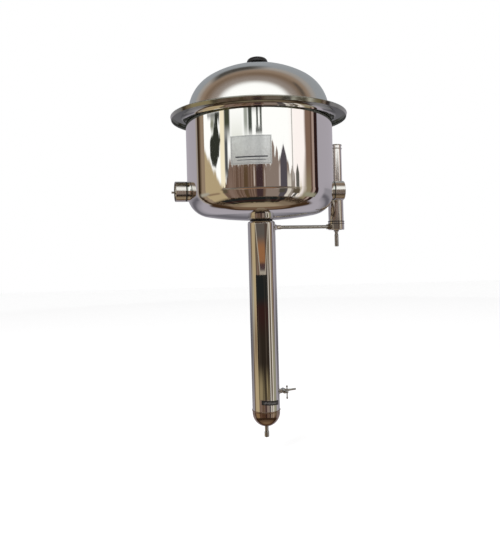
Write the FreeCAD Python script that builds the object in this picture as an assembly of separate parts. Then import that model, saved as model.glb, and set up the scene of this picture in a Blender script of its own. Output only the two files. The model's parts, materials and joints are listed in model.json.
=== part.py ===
import FreeCAD, Part
import math
import os

# Wall-mounted water still, electrically heated, of polished stainless steel. Millimetres, +Z up, front at -Y.
# It is drawn about the upright axis of the boiler, with height 0 where the lid rests on the boiler's rim, and
# each finished piece is then moved so that the origin is where the wall strip bears in the hanger.

V = FreeCAD.Vector

# ---- driving dimensions: boiler and lid ----
SHEET = 1.0                   # sheet of the boiler and the lid
BOILER_RADIUS = 127.5         # outside of the upright wall
BOILER_DEPTH = 180.5          # rim plane to the lowest point outside
KNUCKLE_RADIUS = 40.0         # outside, where the wall turns into the bottom
SEAM_DROP = 2.0               # of the weld between wall and bottom, below the heaters' bosses
DISH_RADIUS = 560.0           # outside, of the dished bottom
RIM_FILLET = 8.0              # under the rim
BRIM_OVERHANG = 25.9          # how far the lid's brim stands out past the boiler's wall
LIP_DEPTH = 3.5               # how far the brim's edge turns down below the rim plane
LIP_BEND = 2.0
LIP_CLEARANCE = 0.5           # between the boiler's rim and the bend of the lip
DOME_INSET = 4.5              # the dome's side, inside the boiler's wall
DOME_HEIGHT = 90.0            # above the rim plane
DOME_FILLET = 4.0

# ---- knob ----
KNOB_RADIUS = 18.3
KNOB_HEIGHT = 13.0
KNOB_FOOT_RADIUS = 9.0
KNOB_WASHER_THICKNESS = 1.0
KNOB_SCREW_RADIUS = 2.5
KNOB_SCREW_REACH = 8.0        # into the knob
SCREW_HEAD_RADIUS = 4.75
SCREW_HEAD_HEIGHT = 3.0
SCREW_SLOT = 1.2              # width and depth of the slot in its head
SCREW_WASHER_RADIUS = 6.65

# ---- condenser ----
JACKET_RADIUS = 24.15
JACKET_WALL = 1.2
JACKET_SHOULDER = 4.5         # outside radius of the top cap's shoulder
JACKET_SKIRT = 1.5            # upright edge of the top cap
JACKET_REACH = 330.5          # from the boiler's lowest point down to the bottom cap
CAP_SKIRT = 6.0               # upright part of the bottom cap, above its half sphere
BEAD_RADIUS = 1.5
STEAM_TUBE_RADIUS = 11.0
STEAM_TUBE_WALL = 0.8
STEAM_TUBE_DROP = 30.0        # its open top, below the rim plane
STEAM_TUBE_LIFT = 6.95        # its foot, above the inside of the bottom cap
NECK_WALL = 3.0               # threaded neck through the boiler's bottom, round the steam tube
NECK_RISE = 14.5              # its top, above the boiler's lowest point
NECK_NUT_WALL = 4.0
NECK_NUT_HEIGHT = 6.0
NECK_WASHER_MARGIN = 3.0      # beyond the nut's flats
HOOD_GAP = 7.0                # between the steam tube and the outside of the hood
HOOD_HEIGHT = 32.0
HOOD_HEADROOM = 10.0          # between the tube's top and the inside of the hood
SPOUT_NECK_RADIUS = 3.35
SPOUT_END_RADIUS = 4.2
SPOUT_BORE_RADIUS = 2.2
SPOUT_REACH = 19.25           # below the bottom cap
SPOUT_LAND = 8.4              # length of the hose end
SPOUT_TAPER = 2.0             # from the hose end up to the neck
SPOUT_FLANGE = 2.0            # thickness of the flange under the steam tube
SPOUT_PLUG = 6.0              # height of the plug inside the steam tube
GASKET = 1.5                  # thickness of every flat gasket

# ---- heaters ----
HEATER_RISE = 50.5            # of their axes, above the boiler's lowest point
HEATER_FORWARD = {"left": 15.0, "right": -8.0}        # degrees ahead of the left and the right
HEATER_BOSS_HEIGHT = 3.0      # of the welded boss, past the boiler's wall
HEATER_THREAD_RADIUS = 12.0
HEATER_THREAD_REACH = 8.0     # past the wall's inner face
HEATER_HEAD_SHOULDER = 1.0    # half flats of the head, past its thread
HEATER_HEAD_HEIGHT = 5.0
HEATER_GASKET_INSET = 0.3     # inside the boss's edge
SHROUD_GAP = 1.1              # round the corners of the head
SHROUD_WALL = 1.0
SHROUD_LENGTH = 17.5
ELEMENT_RADIUS = 4.0
ELEMENT_LEG_OFFSET = 7.0      # half the distance between its two ends
ELEMENT_LOOP_RADIUS = 30.0
ELEMENT_REACH = 64.5          # of the loop's centre, from the boiler's wall
ELEMENT_BEND = 16.5
ELEMENT_STRAIGHT = 6.0        # between the loop and its bends
ELEMENT_SEAT = 6.0            # depth of its ends in the head
CONTACT_PIN_RADIUS = 2.5
CONTACT_PIN_OFFSET = 9.0
CONTACT_PIN_SETBACK = 3.0     # pin ends, inside the shroud's mouth
CONTACT_PIN_TIP = 1.0         # bevel of their ends
CONTACT_PIN_SEAT = 3.0        # depth of the pins and insulators in the head
INSULATOR_WALL = 1.35
INSULATOR_HEIGHT = 2.5
EARTH_CLIP_WIDTH = 3.5
EARTH_CLIP_SHEET = 0.8
EARTH_CLIP_REACH = {"left": 4.5, "right": -1.0}    # past the mouth of the shroud

# ---- cross pipe ----
CROSS_DROP = 12.5             # of its axis, below the boiler's lowest point
CROSS_RADIUS = 3.2
CROSS_WALL = 0.7
FERRULE_WIDE = 3.0            # at the condenser, past the pipe's radius
FERRULE_NARROW = 0.8          # at its outer end
FERRULE_LENGTH = 13.0         # from the jacket's wall
CROSS_NUT_WALL = 1.4
CROSS_NUT_LENGTH = 5.5

# ---- constant-level device ----
DEVICE_AZIMUTH = 25.0         # degrees behind the right; the cross pipe and the inlet cock point the same way
CHAMBER_GAP = 12.6             # between the boiler's wall and the chamber
CHAMBER_RADIUS = 14.0
CHAMBER_WALL = 1.0
CHAMBER_LENGTH = 70.6
CHAMBER_CAP_THICKNESS = 1.2
LEVEL_TUBE_RADIUS = 9.65
LEVEL_TUBE_WALL = 0.8
LEVEL_TUBE_LENGTH = 71.0
LEVEL_TUBE_EDGE = 0.35        # between its outer side and the chamber's
TUBE_BEAD_RADIUS = 1.1
TUBE_BEAD_PITCH = 6.5
BASE_STEP = 0.8               # how far the base stands out past the chamber
BASE_ABOVE_PIPE = 8.9         # of its top face, from the cross pipe's axis
BASE_BELOW_PIPE = 6.0
BASE_FLOOR = 2.2
BASE_SPIGOT = 7.0             # length of the part that screws up into the chamber
BASE_SPIGOT_WALL = 2.2
CHAMBER_GASKET_LIP = 0.4      # how far the gasket stands out from the base
BASE_RING_DROP = 3.4          # O-ring's centre, below the base's top face
BASE_RING_RADIUS = 0.9        # of the O-ring's section
STANDPIPE_RADIUS = 3.5
STANDPIPE_WALL = 0.6
STANDPIPE_SOCKET = 2.5        # height of its socket above the chamber's floor
STANDPIPE_SEAT = 1.0          # depth of the socket's seat below the base's foot
WATER_OVER_HEATERS = 35.0     # height of the standpipe's top above the heaters' axes
OVERFLOW_RADIUS = 3.7
OVERFLOW_BORE_RADIUS = 2.4
OVERFLOW_NECK_RADIUS = 3.2    # between the hose end and the hexagon
OVERFLOW_NECK_TAPER = 1.0
OVERFLOW_THREAD_WALL = 0.6    # round the standpipe
OVERFLOW_REACH = 31.0         # below the base
OVERFLOW_LAND = 22.0
OVERFLOW_HEX_SHOULDER = 0.2   # half flats, past the thread
OVERFLOW_HEX_HEIGHT = 3.2
FEED_DROP = 12.0              # of its axis, below the chamber's top
FEED_RADIUS = 5.0
FEED_WALL = 1.2
FEED_COLLAR_WIDTH = 3.0       # past the pipe's radius
FEED_NUT_WALL = 2.0
FEED_NUT_HEIGHT = 4.0
FEED_TAIL = 1.5               # of the pipe, past its nut

# ---- inlet cock ----
COCK_RISE = 27.0              # above the bottom cap
COCK_FERRULE_LENGTH = 6.5
COCK_FERRULE_WIDE = 3.8       # at the condenser, past the spigot's radius
COCK_FERRULE_NARROW = 1.3     # at its outer end
COCK_SPIGOT_RADIUS = 2.6
COCK_SPIGOT_LENGTH = 3.5
COCK_STANDOFF = 4.85          # of the key's axis, from the ferrule
COCK_BARREL_RADIUS = 4.4
COCK_BARREL_HALF = 5.5
COCK_WATERWAY = 0.9
COCK_NOZZLE_REACH = 24.0      # from the key's axis
COCK_NOZZLE_ROOT = 2.8
COCK_NOZZLE_RADIUS = 1.7
COCK_NOZZLE_LAND = 10.0
KEY_WIDE = 2.9                # tapered plug, at the front
KEY_TAPER = 0.6               # and how much less it is at the back
KEY_STEM_RADIUS = 1.7
KEY_STEM_TAPER = 1.0          # from the plug to the stem
KEY_BAR_OFFSET = 12.5         # bar in front of the cock's middle
KEY_BAR_HALF = 12.0
KEY_BAR_RADIUS = 1.0
KEY_BALL_RADIUS = 1.8
KEY_EYE_RADIUS = 2.6
KEY_TAIL_RADIUS = 1.5
KEY_TAIL_SHOWING = 1.0        # past the nut
KEY_WASHER_WIDTH = 2.1        # past the tail's radius
KEY_WASHER_THICKNESS = 0.8
KEY_NUT_WALL = 1.25
KEY_NUT_HEIGHT = 2.2

# ---- wall hanger ----
STRIP_WIDTH = 32.0            # of the flat strip that it slides over
STRIP_THICKNESS = 5.0
STRIP_CLEARANCE = 0.3         # each side
HANGER_SHEET = 2.5
HANGER_HEIGHT = 50.0
HANGER_DROP = 32.5            # where the strip's end bears, below the rim plane
HANGER_FLANGE = 10.0
HANGER_BEND = 2.0

# ---- clearances and edges ----
FIT = 0.05                    # radial, between pieces that screw or slide together
KEY_PLAY = 0.1                # along the key, so that it turns
CHAMFER = 0.8                 # of turned ends
SMALL_CHAMFER = 0.4
PAST = 1.0                    # how far a cut reaches past what it cuts

# ---- values that follow: boiler and lid ----
BOILER_INSIDE = BOILER_RADIUS - SHEET
BRIM_RADIUS = BOILER_RADIUS + BRIM_OVERHANG
DOME_RADIUS = BOILER_RADIUS - DOME_INSET
RIM_RADIUS = BRIM_RADIUS - LIP_BEND - LIP_CLEARANCE
DISH_CENTRE = DISH_RADIUS - BOILER_DEPTH
KNUCKLE_CENTRE = DISH_CENTRE - math.sqrt((DISH_RADIUS - KNUCKLE_RADIUS) ** 2
                                         - (BOILER_RADIUS - KNUCKLE_RADIUS) ** 2)
HANGER_MIDDLE = BOILER_RADIUS + STRIP_CLEARANCE + STRIP_THICKNESS / 2
HANGER_SEAT = -HANGER_DROP

# ---- values that follow: condenser and cock ----
JACKET_INSIDE = JACKET_RADIUS - JACKET_WALL
JACKET_FOOT = -BOILER_DEPTH - JACKET_REACH
NECK_RADIUS = STEAM_TUBE_RADIUS + NECK_WALL
NECK_HOLE = NECK_RADIUS + 2 * FIT
NECK_TOP = -BOILER_DEPTH + NECK_RISE
NECK_NUT_FLATS = 2 * (NECK_RADIUS + NECK_NUT_WALL)
HOOD_RADIUS = STEAM_TUBE_RADIUS + HOOD_GAP
STEAM_TUBE_TOP = -STEAM_TUBE_DROP
STEAM_TUBE_FOOT = JACKET_FOOT - CAP_SKIRT - JACKET_INSIDE + STEAM_TUBE_LIFT
SPOUT_END = JACKET_FOOT - CAP_SKIRT - JACKET_RADIUS - SPOUT_REACH
COCK_HEIGHT = JACKET_FOOT + COCK_RISE
COCK_DISTANCE = JACKET_RADIUS + COCK_FERRULE_LENGTH + COCK_STANDOFF
COCK_NOZZLE_END = COCK_DISTANCE + COCK_NOZZLE_REACH

# ---- values that follow: heaters ----
HEATER_AZIMUTH = {"left": 180 + HEATER_FORWARD["left"], "right": -HEATER_FORWARD["right"]}
HEATER_HEIGHT = -BOILER_DEPTH + HEATER_RISE
HEATER_BOSS_FACE = BOILER_RADIUS + HEATER_BOSS_HEIGHT
HEATER_HEAD_FLATS = 2 * (HEATER_THREAD_RADIUS + HEATER_HEAD_SHOULDER)
SHROUD_RADIUS = HEATER_HEAD_FLATS / math.sqrt(3) + SHROUD_GAP + SHROUD_WALL
SEAM_HEIGHT = HEATER_HEIGHT - SHROUD_RADIUS - SEAM_DROP
SHROUD_MOUTH = HEATER_BOSS_FACE + GASKET + SHROUD_LENGTH
ELEMENT_LOOP_CENTRE = BOILER_INSIDE - ELEMENT_REACH

# ---- values that follow: cross pipe and constant-level device ----
OUTWARDS = V(math.cos(math.radians(DEVICE_AZIMUTH)), math.sin(math.radians(DEVICE_AZIMUTH)), 0)
CHAMBER_DISTANCE = BOILER_RADIUS + CHAMBER_GAP + CHAMBER_RADIUS
CHAMBER_AXIS = OUTWARDS * CHAMBER_DISTANCE
LEVEL_TUBE_OFFSET = CHAMBER_RADIUS - LEVEL_TUBE_RADIUS - LEVEL_TUBE_EDGE
TUBE_AXIS = OUTWARDS * (CHAMBER_DISTANCE + LEVEL_TUBE_OFFSET)
CROSS_HEIGHT = -BOILER_DEPTH - CROSS_DROP
BASE_RADIUS = CHAMBER_RADIUS + BASE_STEP
BASE_BORE_RADIUS = CHAMBER_RADIUS - CHAMBER_WALL - BASE_SPIGOT_WALL
BASE_TOP = CROSS_HEIGHT + BASE_ABOVE_PIPE
BASE_FOOT = CROSS_HEIGHT - BASE_BELOW_PIPE
CHAMBER_FOOT = BASE_TOP + GASKET
CHAMBER_TOP = CHAMBER_FOOT + CHAMBER_LENGTH
LEVEL_TUBE_TOP = CHAMBER_TOP + LEVEL_TUBE_LENGTH
STANDPIPE_TOP = HEATER_HEIGHT + WATER_OVER_HEATERS
OVERFLOW_THREAD_RADIUS = STANDPIPE_RADIUS + OVERFLOW_THREAD_WALL
OVERFLOW_HEX_FLATS = 2 * (OVERFLOW_THREAD_RADIUS + OVERFLOW_HEX_SHOULDER)
OVERFLOW_END = BASE_FOOT - OVERFLOW_REACH
FEED_HEIGHT = CHAMBER_TOP - FEED_DROP
FEED_SEAT = BOILER_RADIUS + GASKET


# ---- helpers ----
def arc(centre_r, centre_z, radius, start, end):
    """An arc step for turned(): from angle start to angle end, in degrees from the outward direction."""
    middle = math.radians((start + end) / 2)
    last = math.radians(end)
    return (centre_r + radius * math.cos(middle), centre_z + radius * math.sin(middle),
            centre_r + radius * math.cos(last), centre_z + radius * math.sin(last))


def section(outline):
    """A closed face in the XZ plane. A step is a point (r, z), an arc's middle and end, or a ready edge."""
    edges = []
    here = V(outline[0][0], 0, outline[0][1])
    for step in outline[1:] + [outline[0]]:
        if isinstance(step, Part.Shape):
            ends = [vertex.Point for vertex in step.Vertexes]
            edges.append(step)
            here = max(ends, key=lambda point: (point - here).Length)
            continue
        end = V(step[-2], 0, step[-1])
        if len(step) == 4:
            edges.append(Part.Arc(here, V(step[0], 0, step[1]), end).toShape())
        elif (end - here).Length > 1e-6:
            edges.append(Part.LineSegment(here, end).toShape())
        here = end
    return Part.Face(Part.Wire(edges))


def turned(outline):
    """A solid turned about Z from an outline of radii and heights."""
    return section(outline).revolve(V(0, 0, 0), V(0, 0, 1), 360)


def ring(inner, outer, low, high):
    """A plain tube or washer about Z."""
    return turned([(inner, low), (outer, low), (outer, high), (inner, high)])


def rod(radius, low, high):
    """A plain cylinder about Z."""
    return Part.makeCylinder(radius, high - low, V(0, 0, low))


def hexagon(flats, low, high, bore):
    """A nut about Z with bevelled corners and a plain hole."""
    corner = flats / math.sqrt(3)
    points = [V(corner * math.cos(math.radians(60 * n)), corner * math.sin(math.radians(60 * n)), low)
              for n in range(7)]
    prism = Part.Face(Part.makePolygon(points)).extrude(V(0, 0, high - low))
    bevel = corner - flats / 2
    drop = bevel / math.sqrt(3)
    envelope = turned([(bore, low), (flats / 2, low), (corner, low + drop), (corner, high - drop),
                       (flats / 2, high), (bore, high)])
    return prism.common(envelope)


def placed(shape, origin, x_axis, z_axis):
    """The shape with its own X and Z laid along two given directions."""
    y_axis = z_axis.cross(x_axis)
    matrix = FreeCAD.Matrix(x_axis.x, y_axis.x, z_axis.x, origin.x,
                            x_axis.y, y_axis.y, z_axis.y, origin.y,
                            x_axis.z, y_axis.z, z_axis.z, origin.z,
                            0, 0, 0, 1)
    moved = shape.copy()
    moved.Placement = FreeCAD.Placement(matrix).multiply(moved.Placement)
    return moved


def radial(shape, azimuth, height):
    """Lays a piece made about Z along a radius of the still: its Z points outwards and its Y points up."""
    angle = math.radians(azimuth)
    outwards = V(math.cos(angle), math.sin(angle), 0)
    sideways = V(-math.sin(angle), math.cos(angle), 0)
    return placed(shape, V(0, 0, height), sideways, outwards)


def at(shape, axis):
    """Moves a piece made about Z sideways to another upright axis."""
    moved = shape.copy()
    moved.translate(V(axis.x, axis.y, 0))
    return moved


def dish_height(radius, inset):
    """Height of the dished bottom at a radius, outside (inset 0) or inside (inset = the sheet)."""
    return DISH_CENTRE - math.sqrt((DISH_RADIUS - inset) ** 2 - radius ** 2)


def wall_steps(inset):
    """The bottom and wall of the boiler, from the middle outwards, then up to the fillet under the rim."""
    dish = DISH_RADIUS - inset
    knuckle = KNUCKLE_RADIUS - inset
    centre = BOILER_RADIUS - KNUCKLE_RADIUS
    turn = math.degrees(math.atan2(KNUCKLE_CENTRE - DISH_CENTRE, centre))
    return [arc(0, DISH_CENTRE, dish, -90, turn),
            arc(centre, KNUCKLE_CENTRE, knuckle, turn, 0),
            (BOILER_RADIUS - inset, -SHEET - RIM_FILLET)]


# ---- boiler ----
def boiler_space():
    """Everything inside the boiler's sheet, up to the rim plane."""
    return turned([(0, dish_height(0, SHEET))] + wall_steps(SHEET) + [(BOILER_INSIDE, 0), (0, 0)])


def boiler_pieces():
    """The wall with its turned-out rim and heater bosses, and the pressed bottom welded under them."""
    outside = wall_steps(0)
    rim = [arc(BOILER_RADIUS + RIM_FILLET, -SHEET - RIM_FILLET, RIM_FILLET, 180, 90),
           (RIM_RADIUS, -SHEET), (RIM_RADIUS, 0), (BOILER_RADIUS + RIM_FILLET, 0),
           arc(BOILER_RADIUS + RIM_FILLET, -SHEET - RIM_FILLET, RIM_FILLET + SHEET, 90, 180),
           (0, -SHEET - RIM_FILLET)]
    body = turned([(0, dish_height(0, 0))] + outside + rim)
    body = body.cut(boiler_space())
    boss = rod(SHROUD_RADIUS, BOILER_RADIUS - KNUCKLE_RADIUS, HEATER_BOSS_FACE)
    for side in HEATER_AZIMUTH:
        body = body.fuse(heater_part(side, boss).cut(boiler_space()))
    for side in HEATER_AZIMUTH:
        body = body.cut(heater_part(side, rod(HEATER_THREAD_RADIUS + FIT, 0, HEATER_BOSS_FACE + PAST)))
    body = body.cut(rod(NECK_HOLE, -BOILER_DEPTH - PAST, dish_height(NECK_HOLE, SHEET) + PAST))
    body = body.cut(radial(rod(FEED_RADIUS + FIT, 0, BOILER_RADIUS + PAST), DEVICE_AZIMUTH, FEED_HEIGHT))
    body = body.removeSplitter()
    below = rod(BOILER_RADIUS + PAST, -BOILER_DEPTH - PAST, SEAM_HEIGHT)
    return {"boiler_drum": body.cut(below), "boiler_bottom": body.common(below)}


def quarter_ellipse(radius, rise, base):
    """The edge of a dome, between its base and its top."""
    across, top, centre = V(radius, 0, base), V(0, 0, base + rise), V(0, 0, base)
    if radius >= rise:
        return Part.Ellipse(across, top, centre).toShape(0, math.pi / 2)
    return Part.Ellipse(top, across, centre).toShape(0, math.pi / 2)


def dome_inside(radius):
    """Height of the lid's inner face at a radius."""
    base = SHEET + DOME_FILLET
    return base + (DOME_HEIGHT - base - SHEET) * math.sqrt(1 - (radius / (DOME_RADIUS - SHEET)) ** 2)


def boiler_lid():
    base = SHEET + DOME_FILLET
    rise = DOME_HEIGHT - base
    flat_end = BRIM_RADIUS - LIP_BEND
    lid = turned([(0, DOME_HEIGHT - SHEET), quarter_ellipse(DOME_RADIUS - SHEET, rise - SHEET, base),
                  arc(DOME_RADIUS + DOME_FILLET, base, DOME_FILLET + SHEET, 180, 270), (flat_end, 0),
                  arc(flat_end, SHEET - LIP_BEND, LIP_BEND - SHEET, 90, 0), (BRIM_RADIUS - SHEET, -LIP_DEPTH),
                  (BRIM_RADIUS, -LIP_DEPTH), (BRIM_RADIUS, SHEET - LIP_BEND),
                  arc(flat_end, SHEET - LIP_BEND, LIP_BEND, 0, 90), (DOME_RADIUS + DOME_FILLET, SHEET),
                  arc(DOME_RADIUS + DOME_FILLET, base, DOME_FILLET, 270, 180),
                  quarter_ellipse(DOME_RADIUS, rise, base)])
    return lid.cut(rod(KNOB_SCREW_RADIUS + FIT, 0, DOME_HEIGHT + PAST))


def knob_pieces():
    """The lid's knob, the washer under it, and its screw and washer inside the lid."""
    foot = DOME_HEIGHT + KNOB_WASHER_THICKNESS
    top = foot + KNOB_HEIGHT
    hole = KNOB_SCREW_RADIUS + FIT
    waist = foot + KNOB_HEIGHT * 0.2
    widest = foot + KNOB_HEIGHT * 0.5
    knob = turned([(hole, foot), (KNOB_FOOT_RADIUS, foot), (KNOB_FOOT_RADIUS, waist),
                   (KNOB_RADIUS * 0.86, waist + KNOB_HEIGHT * 0.12),
                   (KNOB_RADIUS * 0.985, waist + KNOB_HEIGHT * 0.2, KNOB_RADIUS, widest),
                   (KNOB_RADIUS * 0.83, top - KNOB_HEIGHT * 0.12,
                    KNOB_RADIUS * 0.5, top - KNOB_HEIGHT * 0.02), (0, top),
                   (0, foot + KNOB_SCREW_REACH), (hole, foot + KNOB_SCREW_REACH)])
    inside = dome_inside(SCREW_WASHER_RADIUS)
    shank_top = foot + KNOB_SCREW_REACH - 2 * FIT
    under_washer = inside - KNOB_WASHER_THICKNESS
    head_foot = under_washer - SCREW_HEAD_HEIGHT
    screw = turned([(0, head_foot), (SCREW_HEAD_RADIUS * 0.7, head_foot),
                    (SCREW_HEAD_RADIUS, under_washer - SCREW_HEAD_HEIGHT * 0.5),
                    (SCREW_HEAD_RADIUS, under_washer), (KNOB_SCREW_RADIUS, under_washer),
                    (KNOB_SCREW_RADIUS, shank_top), (0, shank_top)])
    slot = Part.makeBox(2 * SCREW_HEAD_RADIUS, SCREW_SLOT, SCREW_SLOT,
                        V(-SCREW_HEAD_RADIUS, -SCREW_SLOT / 2, head_foot))
    return {
        "lid_knob": knob,
        "lid_knob_gasket": ring(hole, KNOB_FOOT_RADIUS, DOME_HEIGHT, foot),
        "lid_knob_washer": ring(hole, SCREW_WASHER_RADIUS, under_washer, inside),
        "lid_knob_screw": screw.cut(slot),
    }


# ---- condenser ----
NECK_GASKET_TOP = dish_height(NECK_HOLE, 0)            # the dish is lowest at the hole's edge
CONDENSER_TOP = NECK_GASKET_TOP - GASKET
JACKET_TOP = CONDENSER_TOP - JACKET_SHOULDER - JACKET_SKIRT
NECK_WASHER_RADIUS = NECK_NUT_FLATS / 2 + NECK_WASHER_MARGIN
NECK_WASHER_SEAT = dish_height(NECK_WASHER_RADIUS, SHEET)    # inside, the washer bears at its edge


def condenser_pieces():
    """Water jacket, its two caps, the steam tube inside it, and what clamps it to the boiler's bottom."""
    flat = JACKET_RADIUS - JACKET_SHOULDER
    shoulder_z = CONDENSER_TOP - JACKET_SHOULDER
    top_cap = turned([(STEAM_TUBE_RADIUS + FIT, NECK_TOP), (NECK_RADIUS - CHAMFER, NECK_TOP),
                      (NECK_RADIUS, NECK_TOP - CHAMFER), (NECK_RADIUS, CONDENSER_TOP), (flat, CONDENSER_TOP),
                      arc(flat, shoulder_z, JACKET_SHOULDER, 90, 0),
                      (JACKET_RADIUS, JACKET_TOP), (JACKET_INSIDE, JACKET_TOP), (JACKET_INSIDE, shoulder_z),
                      arc(flat, shoulder_z, JACKET_SHOULDER - JACKET_WALL, 0, 90),
                      (STEAM_TUBE_RADIUS + FIT, CONDENSER_TOP - JACKET_WALL)])
    jacket = ring(JACKET_INSIDE, JACKET_RADIUS, JACKET_FOOT, JACKET_TOP)
    for radius, height in ((CROSS_RADIUS + FIT, CROSS_HEIGHT), (COCK_SPIGOT_RADIUS, COCK_HEIGHT)):
        jacket = jacket.cut(radial(rod(radius, 0, JACKET_RADIUS + PAST), DEVICE_AZIMUTH, height))

    round_z = JACKET_FOOT - CAP_SKIRT
    bead_z = JACKET_FOOT - BEAD_RADIUS
    bead_sunk = 0.4                                    # share of its radius inside the jacket's face
    bead_middle = JACKET_RADIUS - BEAD_RADIUS * bead_sunk
    bead_angle = math.degrees(math.acos(bead_sunk))
    hole = SPOUT_NECK_RADIUS + FIT
    outside_turn = -math.degrees(math.acos(hole / JACKET_RADIUS))
    inside_turn = -math.degrees(math.acos(hole / JACKET_INSIDE))
    bottom_cap = turned([(JACKET_INSIDE, JACKET_FOOT), (bead_middle, JACKET_FOOT),
                         arc(bead_middle, bead_z, BEAD_RADIUS, 90, -bead_angle), (JACKET_RADIUS, round_z),
                         arc(0, round_z, JACKET_RADIUS, 0, outside_turn),
                         (hole, round_z + JACKET_INSIDE * math.sin(math.radians(inside_turn))),
                         arc(0, round_z, JACKET_INSIDE, inside_turn, 0)])

    steam_inside = STEAM_TUBE_RADIUS - STEAM_TUBE_WALL
    steam_tube = ring(steam_inside, STEAM_TUBE_RADIUS, STEAM_TUBE_FOOT, STEAM_TUBE_TOP)
    plug_top = STEAM_TUBE_FOOT + SPOUT_PLUG
    plug_foot = STEAM_TUBE_FOOT - SPOUT_FLANGE
    land = SPOUT_END + SPOUT_LAND
    spout = turned([(SPOUT_BORE_RADIUS, plug_foot), (steam_inside * 0.85, plug_top), (steam_inside, plug_top),
                    (steam_inside, STEAM_TUBE_FOOT), (STEAM_TUBE_RADIUS, STEAM_TUBE_FOOT),
                    (STEAM_TUBE_RADIUS, plug_foot), (SPOUT_NECK_RADIUS, plug_foot),
                    (SPOUT_NECK_RADIUS, land + SPOUT_TAPER), (SPOUT_END_RADIUS, land),
                    (SPOUT_END_RADIUS, SPOUT_END + CHAMFER), (SPOUT_END_RADIUS - CHAMFER, SPOUT_END),
                    (SPOUT_BORE_RADIUS, SPOUT_END)])

    hood_top = STEAM_TUBE_TOP + HOOD_HEADROOM + SHEET
    hood_foot = hood_top - HOOD_HEIGHT
    bend = HOOD_RADIUS * 0.35
    flat = HOOD_RADIUS - bend
    hood = turned([(0, hood_top), (0, hood_top - SHEET), (flat, hood_top - SHEET),
                   arc(flat, hood_top - bend, bend - SHEET, 90, 0), (HOOD_RADIUS - SHEET, hood_foot),
                   (HOOD_RADIUS, hood_foot), (HOOD_RADIUS, hood_top - bend),
                   arc(flat, hood_top - bend, bend, 0, 90)])
    lug_length = HOOD_RADIUS - SHEET / 2 - STEAM_TUBE_RADIUS - FIT
    for turn in range(0, 360, 120):
        lug = Part.makeBox(lug_length, SHEET, HOOD_HEIGHT * 0.4,
                           V(STEAM_TUBE_RADIUS + FIT, -SHEET / 2, hood_foot))
        lug.rotate(V(0, 0, 0), V(0, 0, 1), turn)
        hood = hood.fuse(lug)

    washer_top = NECK_WASHER_SEAT + GASKET
    return {
        "condenser_top_cap": top_cap,
        "condenser_jacket": jacket,
        "condenser_bottom_cap": bottom_cap,
        "steam_tube": steam_tube,
        "distillate_spout": spout,
        "steam_hood": hood.removeSplitter(),
        "condenser_gasket": ring(NECK_HOLE, JACKET_RADIUS - JACKET_SHOULDER, CONDENSER_TOP, NECK_GASKET_TOP),
        "condenser_washer": ring(NECK_HOLE, NECK_WASHER_RADIUS, NECK_WASHER_SEAT, washer_top),
        "condenser_lock_nut": hexagon(NECK_NUT_FLATS, washer_top, washer_top + NECK_NUT_HEIGHT,
                                      NECK_RADIUS + FIT),
    }


# ---- heaters ----
def heater_part(side, shape):
    return radial(shape, HEATER_AZIMUTH[side], HEATER_HEIGHT)


def element_rod(low_end):
    """The heating element: out along one leg, round its loop, and back. It lies flat, in the local XZ plane."""
    shift = ELEMENT_LOOP_RADIUS - ELEMENT_LEG_OFFSET
    angle = math.acos(1 - shift / (2 * ELEMENT_BEND))
    rise = 2 * ELEMENT_BEND * math.sin(angle)
    straight_end = ELEMENT_LOOP_CENTRE + ELEMENT_STRAIGHT
    bend_end = straight_end + rise

    def s_bend(side):
        """From the leg to the loop's straight part, on one side."""
        inner = V(side * (ELEMENT_LEG_OFFSET + ELEMENT_BEND), 0, bend_end)
        outer = V(side * (ELEMENT_LOOP_RADIUS - ELEMENT_BEND), 0, straight_end)
        start = V(side * ELEMENT_LEG_OFFSET, 0, bend_end)
        halfway = V(side * (ELEMENT_LEG_OFFSET + ELEMENT_LOOP_RADIUS) / 2, 0, (bend_end + straight_end) / 2)
        end = V(side * ELEMENT_LOOP_RADIUS, 0, straight_end)
        half = angle / 2
        first = inner + V(-side * math.cos(half), 0, -math.sin(half)) * ELEMENT_BEND
        second = outer + V(side * math.cos(half), 0, math.sin(half)) * ELEMENT_BEND
        return [Part.Arc(start, first, halfway).toShape(), Part.Arc(halfway, second, end).toShape()]

    left, right = s_bend(-1), s_bend(1)
    loop = Part.Arc(V(-ELEMENT_LOOP_RADIUS, 0, ELEMENT_LOOP_CENTRE),
                    V(0, 0, ELEMENT_LOOP_CENTRE - ELEMENT_LOOP_RADIUS),
                    V(ELEMENT_LOOP_RADIUS, 0, ELEMENT_LOOP_CENTRE)).toShape()

    def line(x, low, high):
        return Part.LineSegment(V(x, 0, low), V(x, 0, high)).toShape()

    path = Part.Wire([line(-ELEMENT_LEG_OFFSET, low_end, bend_end)] + left
                     + [line(-ELEMENT_LOOP_RADIUS, straight_end, ELEMENT_LOOP_CENTRE), loop,
                        line(ELEMENT_LOOP_RADIUS, ELEMENT_LOOP_CENTRE, straight_end)]
                     + [right[1], right[0], line(ELEMENT_LEG_OFFSET, bend_end, low_end)])
    profile = Part.Wire([Part.Circle(V(-ELEMENT_LEG_OFFSET, 0, low_end), V(0, 0, 1), ELEMENT_RADIUS).toShape()])
    return path.makePipeShell([profile], True, False)


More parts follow.
